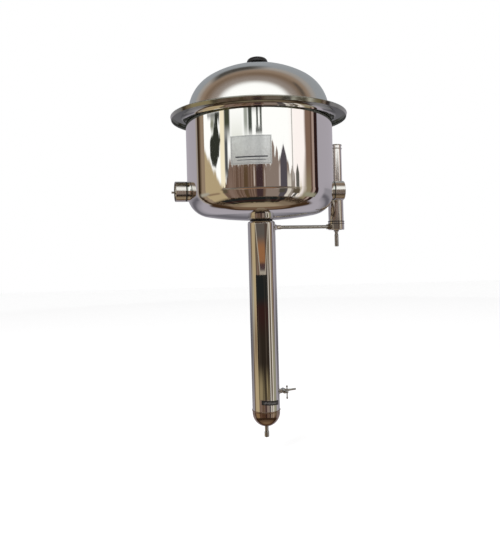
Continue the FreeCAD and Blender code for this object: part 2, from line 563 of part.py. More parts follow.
def heater_pieces(side):
    """One screw-in heater with its gasket, plug shroud, contact pins, insulators and earth clip."""
    gasket_end = HEATER_BOSS_FACE + GASKET
    base_end = gasket_end + SHROUD_WALL
    head_end = base_end + HEATER_HEAD_HEIGHT
    inside = SHROUD_RADIUS - SHROUD_WALL
    hole = HEATER_THREAD_RADIUS + FIT
    shroud = turned([(hole, gasket_end), (SHROUD_RADIUS - CHAMFER, gasket_end),
                     (SHROUD_RADIUS, gasket_end + CHAMFER), (SHROUD_RADIUS, SHROUD_MOUTH - SMALL_CHAMFER),
                     (SHROUD_RADIUS - SMALL_CHAMFER, SHROUD_MOUTH), (inside, SHROUD_MOUTH), (inside, base_end),
                     (hole, base_end)])
    thread_start = BOILER_INSIDE - HEATER_THREAD_REACH
    head = hexagon(HEATER_HEAD_FLATS, base_end, head_end, 0)
    head.rotate(V(0, 0, 0), V(0, 0, 1), 30)
    head = head.fuse(rod(HEATER_THREAD_RADIUS, thread_start, base_end))
    leg_depth = thread_start + ELEMENT_SEAT
    pin_end = SHROUD_MOUTH - CONTACT_PIN_SETBACK
    pin_start = head_end - CONTACT_PIN_SEAT
    bush_radius = CONTACT_PIN_RADIUS + FIT + INSULATOR_WALL
    pins, insulators = [], []
    for x in (-CONTACT_PIN_OFFSET, CONTACT_PIN_OFFSET):
        pin = turned([(0, pin_start), (CONTACT_PIN_RADIUS, pin_start),
                      (CONTACT_PIN_RADIUS, pin_end - CONTACT_PIN_TIP),
                      (CONTACT_PIN_RADIUS - CONTACT_PIN_TIP, pin_end), (0, pin_end)])
        pin.translate(V(x, 0, 0))
        pins.append(pin)
        bush = ring(CONTACT_PIN_RADIUS + FIT, bush_radius, pin_start, head_end + INSULATOR_HEIGHT)
        bush.translate(V(x, 0, 0))
        insulators.append(bush)
        socket = rod(bush_radius, pin_start, head_end + PAST)
        socket.translate(V(x, 0, 0))
        head = head.cut(socket)
    for x in (-ELEMENT_LEG_OFFSET, ELEMENT_LEG_OFFSET):
        leg_hole = rod(ELEMENT_RADIUS + FIT, 0, leg_depth)
        leg_hole.translate(V(x, 0, 0))
        head = head.cut(leg_hole)
    reach = SHROUD_MOUTH + EARTH_CLIP_REACH[side]
    rear = -1 if side == "left" else 1
    clip_middle = rear * (HEATER_HEAD_FLATS / 2 + inside) / 2
    clip = Part.makeBox(EARTH_CLIP_SHEET, EARTH_CLIP_WIDTH, reach - base_end,
                        V(clip_middle - EARTH_CLIP_SHEET / 2, -EARTH_CLIP_WIDTH / 2, base_end))
    pieces = {
        "heater_gasket": ring(hole, SHROUD_RADIUS - HEATER_GASKET_INSET, HEATER_BOSS_FACE, gasket_end),
        "heater_shroud": shroud,
        "heater_head": head,
        "heater_element": element_rod(leg_depth),
        "heater_pins": Part.makeCompound(pins),
        "heater_insulators": Part.makeCompound(insulators),
        "earth_clip": clip,
    }
    return {side + "_" + name: heater_part(side, shape) for name, shape in pieces.items()}


# ---- constant-level device ----
def level_pieces():
    """Chamber with its tube, base, seals and overflow: the water stands as high as the standpipe."""
    chamber_inside = CHAMBER_RADIUS - CHAMBER_WALL
    chamber = at(ring(chamber_inside, CHAMBER_RADIUS, CHAMBER_FOOT, CHAMBER_TOP), CHAMBER_AXIS)
    chamber = chamber.cut(radial(rod(FEED_RADIUS + FIT, 0, CHAMBER_DISTANCE), DEVICE_AZIMUTH, FEED_HEIGHT))

    cap_top = CHAMBER_TOP + CHAMBER_CAP_THICKNESS
    tube_inside = LEVEL_TUBE_RADIUS - LEVEL_TUBE_WALL
    cap = at(rod(CHAMBER_RADIUS, CHAMBER_TOP, cap_top), CHAMBER_AXIS)
    cap = cap.cut(at(rod(tube_inside, CHAMBER_TOP - PAST, cap_top + PAST), TUBE_AXIS))

    def bead(height):
        """Half-round bead rolled outwards, from its upper end to its lower end."""
        return [(LEVEL_TUBE_RADIUS, height + TUBE_BEAD_RADIUS),
                arc(LEVEL_TUBE_RADIUS, height, TUBE_BEAD_RADIUS, 90, -90)]

    tube = turned([(tube_inside, cap_top), (tube_inside, LEVEL_TUBE_TOP + TUBE_BEAD_RADIUS)]
                  + bead(LEVEL_TUBE_TOP) + bead(LEVEL_TUBE_TOP - TUBE_BEAD_PITCH)
                  + [(LEVEL_TUBE_RADIUS, cap_top)])

    spigot = chamber_inside - FIT
    floor_top = BASE_FOOT + BASE_FLOOR
    ring_z = BASE_TOP - BASE_RING_DROP
    groove = BASE_RING_RADIUS * 0.6
    groove_depth = math.sqrt(BASE_RING_RADIUS ** 2 - groove ** 2)
    thread_hole = OVERFLOW_THREAD_RADIUS + FIT
    base = turned([(thread_hole, BASE_FOOT), (BASE_RADIUS - CHAMFER, BASE_FOOT),
                   (BASE_RADIUS, BASE_FOOT + CHAMFER), (BASE_RADIUS, ring_z - groove),
                   (BASE_RADIUS - groove_depth, ring_z - groove), (BASE_RADIUS - groove_depth, ring_z + groove),
                   (BASE_RADIUS, ring_z + groove), (BASE_RADIUS, BASE_TOP), (spigot, BASE_TOP),
                   (spigot, BASE_TOP + BASE_SPIGOT), (BASE_BORE_RADIUS, BASE_TOP + BASE_SPIGOT),
                   (BASE_BORE_RADIUS, floor_top), (thread_hole, floor_top)])
    base = at(base, CHAMBER_AXIS)
    base = base.cut(radial(rod(CROSS_RADIUS + FIT, 0, CHAMBER_DISTANCE), DEVICE_AZIMUTH, CROSS_HEIGHT))
    o_ring = turned([(BASE_RADIUS - groove_depth, ring_z - groove), (BASE_RADIUS, ring_z - groove),
                     (BASE_RADIUS + groove, ring_z, BASE_RADIUS, ring_z + groove),
                     (BASE_RADIUS - groove_depth, ring_z + groove)])

    socket_top = floor_top + STANDPIPE_SOCKET
    socket_foot = BASE_FOOT - STANDPIPE_SEAT
    collar_foot = BASE_FOOT - OVERFLOW_HEX_HEIGHT
    collar_radius = OVERFLOW_HEX_FLATS / 2
    land_top = OVERFLOW_END + OVERFLOW_LAND
    nozzle = turned([(OVERFLOW_BORE_RADIUS, OVERFLOW_END), (OVERFLOW_RADIUS - CHAMFER, OVERFLOW_END),
                     (OVERFLOW_RADIUS, OVERFLOW_END + CHAMFER), (OVERFLOW_RADIUS, land_top),
                     (OVERFLOW_NECK_RADIUS, land_top + OVERFLOW_NECK_TAPER),
                     (OVERFLOW_NECK_RADIUS, collar_foot), (collar_radius, collar_foot),
                     (collar_radius, BASE_FOOT), (OVERFLOW_THREAD_RADIUS, BASE_FOOT),
                     (OVERFLOW_THREAD_RADIUS, socket_top), (STANDPIPE_RADIUS + FIT, socket_top),
                     (STANDPIPE_RADIUS + FIT, socket_foot), (OVERFLOW_BORE_RADIUS, socket_foot)])
    nozzle = nozzle.fuse(hexagon(OVERFLOW_HEX_FLATS, collar_foot, BASE_FOOT, OVERFLOW_THREAD_RADIUS))
    standpipe = ring(STANDPIPE_RADIUS - STANDPIPE_WALL, STANDPIPE_RADIUS, socket_foot, STANDPIPE_TOP)
    return {
        "level_chamber": chamber,
        "level_chamber_cap": cap,
        "level_tube": at(tube, TUBE_AXIS),
        "level_chamber_base": base,
        "level_chamber_gasket": at(ring(spigot, BASE_RADIUS + CHAMBER_GASKET_LIP, BASE_TOP, CHAMBER_FOOT),
                                   CHAMBER_AXIS),
        "level_base_ring": at(o_ring, CHAMBER_AXIS),
        "overflow_standpipe": at(standpipe, CHAMBER_AXIS),
        "overflow_nozzle": at(nozzle.removeSplitter(), CHAMBER_AXIS),
    }


def feed_pieces():
    """The short pipe that carries the chamber and lets its water into the boiler."""
    chamber_body = at(rod(CHAMBER_RADIUS, CHAMBER_FOOT, CHAMBER_TOP), CHAMBER_AXIS)
    drum_body = rod(BOILER_RADIUS, 2 * FEED_HEIGHT, 0)
    nut_flats = 2 * (FEED_RADIUS + FEED_NUT_WALL)
    nut_radius = nut_flats / math.sqrt(3)
    collar_radius = FEED_RADIUS + FEED_COLLAR_WIDTH
    nut_seat = math.sqrt(BOILER_INSIDE ** 2 - nut_radius ** 2)
    start = nut_seat - FEED_NUT_HEIGHT - FEED_TAIL
    end = CHAMBER_DISTANCE - CHAMBER_RADIUS + CHAMBER_WALL
    tail = rod(FEED_RADIUS, start, end)
    collar = radial(rod(collar_radius, FEED_SEAT, CHAMBER_DISTANCE), DEVICE_AZIMUTH, FEED_HEIGHT)
    bore = radial(rod(FEED_RADIUS - FEED_WALL, start - PAST, end + PAST), DEVICE_AZIMUTH, FEED_HEIGHT)
    far_start = CHAMBER_DISTANCE - CHAMBER_RADIUS * 0.6
    beyond = radial(rod(collar_radius * 2, far_start, CHAMBER_DISTANCE + PAST), DEVICE_AZIMUTH, FEED_HEIGHT)
    pipe = collar.cut(chamber_body).cut(beyond).fuse(radial(tail, DEVICE_AZIMUTH, FEED_HEIGHT)).cut(bore)
    gasket = radial(ring(FEED_RADIUS + FIT, collar_radius, BOILER_INSIDE * 0.9, FEED_SEAT),
                    DEVICE_AZIMUTH, FEED_HEIGHT).cut(drum_body)
    nut = hexagon(nut_flats, nut_seat - FEED_NUT_HEIGHT, nut_seat, FEED_RADIUS + FIT)
    return {
        "feed_pipe": pipe.removeSplitter(),
        "feed_gasket": gasket,
        "feed_nut": radial(nut, DEVICE_AZIMUTH, FEED_HEIGHT),
    }


# ---- cross pipe ----
def ferrule(narrow, wide, length, bore):
    """A bell-shaped fitting along a radius, its wide end cut to sit on the condenser's jacket."""
    start = JACKET_RADIUS * 0.8
    end = JACKET_RADIUS + length
    return turned([(bore, start), (wide, start), (wide, JACKET_RADIUS + length * 0.08),
                   (narrow + (wide - narrow) * 0.28, JACKET_RADIUS + length * 0.38, narrow, end - length * 0.2),
                   (narrow, end), (bore, end)])


def cross_pipe_pieces():
    """The pipe that takes the warmed cooling water to the level chamber, with its two fittings."""
    jacket_body = rod(JACKET_RADIUS, JACKET_FOOT, CONDENSER_TOP)
    base_body = at(rod(BASE_RADIUS, BASE_FOOT, BASE_TOP), CHAMBER_AXIS)
    pipe_end = CHAMBER_DISTANCE - (BASE_RADIUS + BASE_BORE_RADIUS) / 2
    pipe = ring(CROSS_RADIUS - CROSS_WALL, CROSS_RADIUS, JACKET_INSIDE, pipe_end)
    fitting = ferrule(CROSS_RADIUS + FERRULE_NARROW, CROSS_RADIUS + FERRULE_WIDE, FERRULE_LENGTH,
                      CROSS_RADIUS + FIT)
    nut_start = CHAMBER_DISTANCE - BASE_RADIUS - CROSS_NUT_LENGTH
    nut_flats = 2 * (CROSS_RADIUS + CROSS_NUT_WALL)
    nut = hexagon(nut_flats, nut_start, CHAMBER_DISTANCE - BASE_RADIUS * 0.85, CROSS_RADIUS + FIT)
    return {
        "cross_pipe": radial(pipe, DEVICE_AZIMUTH, CROSS_HEIGHT),
        "cross_pipe_ferrule": radial(fitting, DEVICE_AZIMUTH, CROSS_HEIGHT).cut(jacket_body),
        "cross_pipe_nut": radial(nut, DEVICE_AZIMUTH, CROSS_HEIGHT).cut(base_body),
    }


# ---- inlet cock ----
KEY_CENTRE = OUTWARDS * COCK_DISTANCE + V(0, 0, COCK_HEIGHT)
FRONTWARDS = V(0, 0, 1).cross(OUTWARDS) * -1


def across_cock(shape):
    """Lays a piece made about Z across the cock: its Z points to the front, its X outwards."""
    return placed(shape, KEY_CENTRE, OUTWARDS, FRONTWARDS)


def cock_body():
    spigot_start = JACKET_RADIUS + COCK_FERRULE_LENGTH - COCK_SPIGOT_LENGTH
    collar_start = JACKET_RADIUS + COCK_FERRULE_LENGTH
    collar_radius = (COCK_SPIGOT_RADIUS + COCK_FERRULE_NARROW) * 0.9
    cone_start = COCK_DISTANCE + COCK_BARREL_RADIUS * 0.7
    land_start = COCK_NOZZLE_END - COCK_NOZZLE_LAND
    shank = turned([(0, spigot_start), (COCK_SPIGOT_RADIUS - FIT, spigot_start),
                    (COCK_SPIGOT_RADIUS - FIT, collar_start), (collar_radius, collar_start),
                    (collar_radius, COCK_DISTANCE), (COCK_NOZZLE_ROOT, cone_start),
                    (COCK_NOZZLE_RADIUS, land_start), (COCK_NOZZLE_RADIUS, COCK_NOZZLE_END - SMALL_CHAMFER),
                    (COCK_NOZZLE_RADIUS - SMALL_CHAMFER, COCK_NOZZLE_END), (0, COCK_NOZZLE_END)])
    shank = radial(shank, DEVICE_AZIMUTH, COCK_HEIGHT)
    half = COCK_BARREL_HALF
    face_radius = COCK_BARREL_RADIUS - CHAMFER
    barrel = across_cock(turned([(0, -half), (face_radius, -half), (COCK_BARREL_RADIUS, -half + CHAMFER),
                                 (COCK_BARREL_RADIUS, half - CHAMFER), (face_radius, half), (0, half)]))
    back, front = -half - PAST, half + PAST
    key_room = across_cock(turned([(0, back), (key_radius(back) + FIT, back), (key_radius(front) + FIT, front),
                                   (0, front)]))
    waterway = radial(rod(COCK_WATERWAY, spigot_start - PAST, COCK_NOZZLE_END + PAST),
                      DEVICE_AZIMUTH, COCK_HEIGHT)
    return shank.fuse(barrel).removeSplitter().cut(key_room).cut(waterway)


def key_radius(offset):
    """Radius of the key's tapered plug, at a distance in front of the cock's middle."""
    share = (offset + COCK_BARREL_HALF) / (2 * COCK_BARREL_HALF)
    return KEY_WIDE - KEY_TAPER * (1 - share)


def key_pieces():
    """What turns: the tapered key, its cross bar, and the washer and nut that draw it in from behind."""
    back = -COCK_BARREL_HALF - KEY_PLAY
    washer_back = back - KEY_WASHER_THICKNESS
    nut_back = washer_back - KEY_NUT_HEIGHT
    tail_end = nut_back - KEY_TAIL_SHOWING
    shoulder = COCK_BARREL_HALF + KEY_PLAY
    key = turned([(0, tail_end), (KEY_TAIL_RADIUS - SMALL_CHAMFER, tail_end),
                  (KEY_TAIL_RADIUS, tail_end + SMALL_CHAMFER),
                  (KEY_TAIL_RADIUS, back), (key_radius(back), back), (key_radius(shoulder), shoulder),
                  (KEY_STEM_RADIUS, shoulder + KEY_STEM_TAPER), (KEY_STEM_RADIUS, KEY_BAR_OFFSET),
                  (0, KEY_BAR_OFFSET)])
    eye = Part.makeSphere(KEY_EYE_RADIUS, V(0, 0, KEY_BAR_OFFSET))
    bar_room = rod(KEY_BAR_RADIUS + FIT / 2, -KEY_EYE_RADIUS - PAST, KEY_EYE_RADIUS + PAST)
    bar_room = placed(bar_room, V(0, 0, KEY_BAR_OFFSET), V(1, 0, 0), V(0, 1, 0))
    port = placed(rod(COCK_WATERWAY, -KEY_WIDE - PAST, KEY_WIDE + PAST), V(0, 0, 0), V(1, 0, 0), V(0, 1, 0))
    key = key.fuse(eye).cut(bar_room).cut(port)
    hole = KEY_TAIL_RADIUS + FIT
    ball_z = KEY_BAR_HALF - KEY_BALL_RADIUS
    bar = rod(KEY_BAR_RADIUS, -ball_z, ball_z)
    for height in (-ball_z, ball_z):
        bar = bar.fuse(Part.makeSphere(KEY_BALL_RADIUS, V(0, 0, height)))
    bar = placed(bar, V(0, 0, KEY_BAR_OFFSET), V(1, 0, 0), V(0, 1, 0))
    return {
        "cock_key": across_cock(key),
        "cock_key_bar": across_cock(bar),
        "cock_key_washer": across_cock(ring(hole, KEY_TAIL_RADIUS + KEY_WASHER_WIDTH, washer_back, back)),
        "cock_key_nut": across_cock(hexagon(2 * (KEY_TAIL_RADIUS + KEY_NUT_WALL), nut_back, washer_back, hole)),
    }


def cock_pieces():
    jacket_body = rod(JACKET_RADIUS, JACKET_FOOT, JACKET_TOP)
    fitting = ferrule(COCK_SPIGOT_RADIUS + COCK_FERRULE_NARROW, COCK_SPIGOT_RADIUS + COCK_FERRULE_WIDE,
                      COCK_FERRULE_LENGTH, COCK_SPIGOT_RADIUS)
    pieces = {
        "cock_ferrule": radial(fitting, DEVICE_AZIMUTH, COCK_HEIGHT).cut(jacket_body),
        "cock_body": cock_body(),
    }
    pieces.update(key_pieces())
    return pieces


# ---- wall hanger ----
def wall_hanger():
    """A folded pocket on the boiler's back, open below. It slides down over the strip to its closed top."""
    half = STRIP_WIDTH / 2 + STRIP_CLEARANCE
    inner_back = BOILER_RADIUS + STRIP_THICKNESS + 2 * STRIP_CLEARANCE
    outer_half = half + HANGER_SHEET
    outer_back = inner_back + HANGER_SHEET
    low = HANGER_SEAT - HANGER_HEIGHT
    top = HANGER_SEAT + HANGER_SHEET
    front = BOILER_RADIUS * 0.9
    drum_body = rod(BOILER_RADIUS, low - PAST, top + PAST)
    folded = Part.makeBox(2 * outer_half, outer_back - front, top - low, V(-outer_half, front, low))
    corners = [edge for edge in folded.Edges
               if len(edge.Vertexes) == 2 and all(abs(vertex.Y - outer_back) < 1e-6 for vertex in edge.Vertexes)
               and abs(edge.Vertexes[0].X - edge.Vertexes[1].X) < 1e-6]
    folded = folded.makeFillet(HANGER_BEND + HANGER_SHEET, corners)
    pocket = Part.makeBox(2 * half, inner_back - front, HANGER_SEAT - low, V(-half, front, low))
    flange = ring(BOILER_RADIUS, BOILER_RADIUS + HANGER_SHEET, low, top)
    flange_room = Part.makeBox(2 * (outer_half + HANGER_FLANGE), outer_back, top - low,
                               V(-outer_half - HANGER_FLANGE, 0, low))
    hanger = folded.fuse(flange.common(flange_room)).cut(drum_body).cut(pocket)
    return hanger.removeSplitter()


# ---- the still ----
def still():
    pieces = {"boiler_lid": boiler_lid(), "wall_hanger": wall_hanger()}
    pieces.update(boiler_pieces())
    pieces.update(knob_pieces())
    pieces.update(condenser_pieces())
    for side in HEATER_AZIMUTH:
        pieces.update(heater_pieces(side))
    pieces.update(level_pieces())
    pieces.update(feed_pieces())
    pieces.update(cross_pipe_pieces())
    pieces.update(cock_pieces())
    return pieces


def single(shape):
    """The bare solid, or a compound of its solids where the piece has more than one."""
    solids = shape.Solids
    return solids[0] if len(solids) == 1 else Part.makeCompound(solids)


def main():
    os.makedirs("parts", exist_ok=True)
    to_hanger = V(0, -HANGER_MIDDLE, -HANGER_SEAT)
    for name, shape in still().items():
        piece = single(shape)
        piece.translate(to_hanger)
        piece.exportStep(os.path.join("parts", name + ".step"))
        box = piece.BoundBox
        print(f"{name}: {len(piece.Solids)} solid, {piece.Volume / 1000:.2f} cm3, valid {piece.isValid()}, "
              f"x {box.XMin:.1f}..{box.XMax:.1f} y {box.YMin:.1f}..{box.YMax:.1f} "
              f"z {box.ZMin:.1f}..{box.ZMax:.1f}")


main()
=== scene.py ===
# %% [markdown]
# # A wall-mounted water still, dressed for its picture
# The still is a polished steel boiler with a domed lid. Water boils in it, and the steam goes down through
# a long water-cooled tube and leaves as distilled water. The solid model already has every piece at its real
# size, so this lesson adds what the eye needs: a camera, a plain studio, finishes for each material, and the
# few thin things that no solid model carries, such as a label plate and weld beads.
# We start by loading the solid model. Everything is in metres, with the origin in the wall hanger.

# %% Load the solid model
import json
import math
import bpy
import bmesh
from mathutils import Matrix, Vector
from mathutils.bvhtree import BVHTree


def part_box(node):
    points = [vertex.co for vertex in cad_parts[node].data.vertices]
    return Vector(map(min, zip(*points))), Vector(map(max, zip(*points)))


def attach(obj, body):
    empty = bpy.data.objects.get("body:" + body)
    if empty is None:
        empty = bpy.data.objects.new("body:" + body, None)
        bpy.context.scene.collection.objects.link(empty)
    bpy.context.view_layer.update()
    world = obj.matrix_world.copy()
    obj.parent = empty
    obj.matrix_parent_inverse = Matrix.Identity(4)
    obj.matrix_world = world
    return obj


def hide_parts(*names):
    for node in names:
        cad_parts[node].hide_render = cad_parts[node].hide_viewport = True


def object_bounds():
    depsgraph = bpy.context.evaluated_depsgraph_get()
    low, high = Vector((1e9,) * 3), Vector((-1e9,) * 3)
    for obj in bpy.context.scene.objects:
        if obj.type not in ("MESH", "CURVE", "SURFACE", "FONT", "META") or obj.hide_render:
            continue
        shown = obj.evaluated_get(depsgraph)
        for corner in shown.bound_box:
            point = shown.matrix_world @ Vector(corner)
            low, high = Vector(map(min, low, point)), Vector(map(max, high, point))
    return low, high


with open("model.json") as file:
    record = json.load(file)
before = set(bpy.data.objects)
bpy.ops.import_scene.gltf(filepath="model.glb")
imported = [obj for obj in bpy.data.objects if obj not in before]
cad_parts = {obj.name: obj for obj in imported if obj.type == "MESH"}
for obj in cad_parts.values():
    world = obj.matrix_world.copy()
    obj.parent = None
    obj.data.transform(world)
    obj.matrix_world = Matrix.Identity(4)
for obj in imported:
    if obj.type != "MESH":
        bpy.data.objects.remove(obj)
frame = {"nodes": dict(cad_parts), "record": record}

cad_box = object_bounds()

# %% [markdown]
# ## Where things are
# The still is almost wholly turned, so most places are told by its upright axis and a height. The lid's
# box is centred on that axis, which saves us from typing a number that the model already knows. A ray shot
# at a piece finds how far out its skin lies there, as a feeler gauge would.

# %% Measure the still
lid_low, lid_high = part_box("boiler_lid")
AXIS = Vector(((lid_low.x + lid_high.x) / 2, (lid_low.y + lid_high.y) / 2, 0))
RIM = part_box("boiler_drum")[1].z


def on_axis(height):
    return Vector((AXIS.x, AXIS.y, height))


def outwards(azimuth):
    """A level direction. 0 is the front of the still, 90 its right side, seen from the front."""
    turn = math.radians(azimuth)
    return Vector((math.sin(turn), -math.cos(turn), 0))


def skin_radius(name, height):
    """How far in front of the axis a piece's outer face lies."""
    mesh = frame["nodes"][name].data
    tree = BVHTree.FromPolygons([v.co for v in mesh.vertices], [p.vertices for p in mesh.polygons])
    place = tree.ray_cast(on_axis(height) + outwards(0), -outwards(0))[0]
    return (place - on_axis(height)).length


WALL_RADIUS = skin_radius("boiler_drum", RIM - 0.06)            # well clear of the rim
JACKET_RADIUS = skin_radius("condenser_jacket", RIM - 0.4)      # well clear of both caps
print(f"boiler {2000 * WALL_RADIUS:.1f} mm across, condenser {2000 * JACKET_RADIUS:.1f} mm across")

# %% [markdown]
# ## The camera
# A normal lens about a metre in front of the still and level with the top of its condenser sees the boiler
# from a little below and the condenser's foot from a little above. The camera isn't tilted up or down, so
# upright lines stay parallel, and a small lens shift slides the frame instead, as with a view camera. A slight
# roll leans the whole picture, as happens when a camera is held by hand.

# %% Camera
CAMERA_DISTANCE = 1.017
CAMERA_BELOW_RIM = 0.224
CAMERA_ROLL = 1.5             # degrees

eye = on_axis(RIM - CAMERA_BELOW_RIM) + outwards(0) * CAMERA_DISTANCE
lens = bpy.data.cameras.new("camera")
lens.sensor_width = 36
lens.lens = 38.6
lens.shift_x = -0.0222
lens.shift_y = -0.046
camera = bpy.data.objects.new("camera", lens)
camera.location = eye
camera.rotation_euler = (math.radians(90), math.radians(CAMERA_ROLL), 0)
bpy.context.scene.collection.objects.link(camera)
bpy.context.scene.camera = camera
print("camera at", [round(c, 3) for c in eye])

# %% [markdown]
# ## Small helpers for shader trees
# A procedural finish is a tree of nodes. Typed out one line per link it is hard to read, so a few helpers do
# the wiring: one adds a node and fills its inputs, from numbers or from other nodes, one does sums, and the
# rest are steps that many finishes share, such as a soft band or one colour painted over another.

# %% Shader helpers
def make(tree, kind, inputs=None, **settings):
    """Adds a node with its settings, then sets or links its inputs."""
    made = tree.nodes.new(kind)
    for name, value in settings.items():
        setattr(made, name, value)
    for socket, value in (inputs or {}).items():
        if isinstance(value, bpy.types.NodeSocket):
            tree.links.new(value, made.inputs[socket])
        else:
            made.inputs[socket].default_value = value
    return made


def add(tree, kind, inputs=None, **settings):
    """Adds a shader node. Their type names all start alike, so that start is left out."""
    return make(tree, "ShaderNode" + kind, inputs, **settings)


def calc(tree, operation, *values):
    return add(tree, "Math", dict(enumerate(values)), operation=operation).outputs[0]


def hypot(tree, one, other):
    """How far two steps at right angles to each other lead."""
    squares = [calc(tree, "MULTIPLY", step, step) for step in (one, other)]
    return calc(tree, "SQRT", calc(tree, "ADD", *squares))


def ramp_between(tree, value, low, high, bottom=0.0, top=1.0, smooth=True):
    """Goes from bottom to top while the value goes from low to high."""
    inputs = {"Value": value, "From Min": low, "From Max": high, "To Min": bottom, "To Max": top}
    kind = "SMOOTHSTEP" if smooth else "LINEAR"
    return add(tree, "MapRange", inputs, interpolation_type=kind).outputs[0]


def band(tree, value, low, high, soft):
    """1 between low and high, 0 elsewhere, with soft edges."""
    rise = ramp_between(tree, value, low - soft, low + soft)
    fall = ramp_between(tree, value, high - soft, high + soft, 1.0, 0.0)
    return calc(tree, "MULTIPLY", rise, fall)


def over(tree, below, mask, above):
    """Paints one colour over another where the mask is 1."""
    return add(tree, "Mix", {0: mask, 6: below, 7: above}, data_type="RGBA").outputs[2]


def cloudy(tree, scale, detail):
    """Soft blotches that stay where they are on the object, as a number from 0 to 1."""
    spot = add(tree, "TexCoord").outputs["Object"]
    return add(tree, "TexNoise", {"Vector": spot, "Scale": scale, "Detail": detail}).outputs["Fac"]


def new_material(name):
    """A material with only a Principled BSDF, which is returned with its tree."""
    material = bpy.data.materials.new(name)
    material.use_nodes = True
    tree = material.node_tree
    return material, tree, tree.nodes["Principled BSDF"]


def into_object(name, shape, finish=None):
    """Makes an object of a bmesh, with a material if one is given, and puts it in the scene."""
    piece = bpy.data.objects.new(name, bpy.data.meshes.new(name))
    shape.to_mesh(piece.data)
    if finish:
        piece.data.materials.append(finish)
    bpy.context.scene.collection.objects.link(piece)
    return piece


print("helpers ready")

# %% [markdown]
# ## The studio: floor and light
# Polished steel has hardly a colour of its own. What the eye reads as steel is the room mirrored in it, so
# the studio has to be planned for two kinds of ray. The camera is to see nothing but a pale, even room, and
# the pieces are lit by a white world and two large soft lamps, as by window light. Mirror rays are to see
# neither the floor nor the lamps: they get a screen of their own, which comes next.

# %% Floor and world
FLOOR_GAP = 0.03              # below the lowest point
FLOOR_HALF = 4.0
FLOOR_GLOW = 0.45             # lifts the floor to the white of the room behind it
WORLD_LIGHT = 0.55            # on the still, where what the camera sees of the world is 1

world = bpy.data.worlds.new("studio")
bpy.context.scene.world = world
world.use_nodes = True
sky = world.node_tree
sky.nodes.clear()
path = add(sky, "LightPath")
seen = calc(sky, "MAXIMUM", path.outputs["Is Camera Ray"],
            calc(sky, "MAXIMUM", path.outputs["Is Glossy Ray"], path.outputs["Is Transmission Ray"]))
strength = ramp_between(sky, seen, 0.0, 1.0, WORLD_LIGHT, 1.0, smooth=False)
background = add(sky, "Background", {"Color": (1, 1, 1, 1), "Strength": strength})
sky.links.new(background.outputs[0], add(sky, "OutputWorld").inputs["Surface"])

bpy.ops.mesh.primitive_plane_add(size=2 * FLOOR_HALF, location=(0, 0, cad_box[0].z - FLOOR_GAP))
floor = bpy.context.object
floor.name = "floor"
floor.visible_glossy = False
pale, tree, shader = new_material("pale_floor")
shader.inputs["Base Color"].default_value = (0.86, 0.86, 0.86, 1)
shader.inputs["Roughness"].default_value = 0.9
shader.inputs["Emission Color"].default_value = (1, 1, 1, 1)
seen = add(tree, "LightPath").outputs["Is Camera Ray"]
tree.links.new(calc(tree, "MULTIPLY", seen, FLOOR_GLOW), shader.inputs["Emission Strength"])
floor.data.materials.append(pale)
print("floor at", round(floor.location.z, 3))

# %% Lamps
def soft_lamp(name, place, size, watts):
    """A large square lamp that faces the middle of the still."""
    light = bpy.data.lights.new(name, "AREA")
    light.size = size
    light.energy = watts
    lamp = bpy.data.objects.new(name, light)
    lamp.location = place
    target = on_axis((cad_box[0].z + cad_box[1].z) / 2)
    lamp.rotation_euler = (target - lamp.location).to_track_quat("-Z", "Y").to_euler()
    lamp.visible_glossy = False
    bpy.context.scene.collection.objects.link(lamp)


soft_lamp("key_light", Vector((-1.2, -1.6, 1.3)), 1.2, 22)
soft_lamp("fill_light", Vector((1.6, -1.2, 0.5)), 1.4, 10)

# %% [markdown]
# ## The tent
# A bare white room makes polished steel vanish. Photographers stand such a piece in a tent, a round screen
# painted with the tones that the metal is to show. Ours is a large sphere that only mirror rays can see: the
# camera never does, and it gives no light to anything else. Places on it are told in degrees, round from the
# front and up from eye height, which is how a reflection is thought of. Its paint is built in layers, each
# over the last, from colour codes divided by the metal's own colour, so that the mirrored tone comes out true.

# %% Tent
TENT_RADIUS = 3.0
STEEL = (0.80, 0.79, 0.77)    # how much of each colour polished steel gives back
WOBBLE = 14.0                 # degrees by which ragged outlines wander


def paint(code):
    """A painter's colour code made into the light that polished steel shows as that colour."""
    parts = [int(code[n:n + 2], 16) / 255 for n in (0, 2, 4)]
    return tuple(((c + 0.055) / 1.055) ** 2.4 / back for c, back in zip(parts, STEEL)) + (1,)


def for_mirrors_only(screen):
    """Hides a screen from every kind of ray but mirror rays."""
    screen.visible_camera = screen.visible_diffuse = screen.visible_shadow = False
    screen.visible_transmission = screen.visible_volume_scatter = False


def glow(tree, tone):
    """Makes a material shine in its own colours, in place of its Principled BSDF."""
    tree.nodes.remove(tree.nodes["Principled BSDF"])
    light = add(tree, "Emission", {"Color": tone, "Strength": 1.0})
    tree.links.new(light.outputs[0], tree.nodes["Material Output"].inputs["Surface"])


SKY, KHAKI, LEAF, SLATE = paint("fffffb"), paint("ae9b78"), paint("2f312a"), paint("4f4a4f")
MAUVE, STONE, WALL_GREY = paint("614c3f"), paint("83746a"), paint("a19ba1")

bpy.ops.mesh.primitive_uv_sphere_add(segments=64, ring_count=32, radius=TENT_RADIUS)
tent = bpy.context.object
tent.name = "tent"
tent.data.transform(tent.matrix_world)
tent.location = eye - outwards(0) * CAMERA_DISTANCE
for_mirrors_only(tent)
print("tent", TENT_RADIUS, "m round")

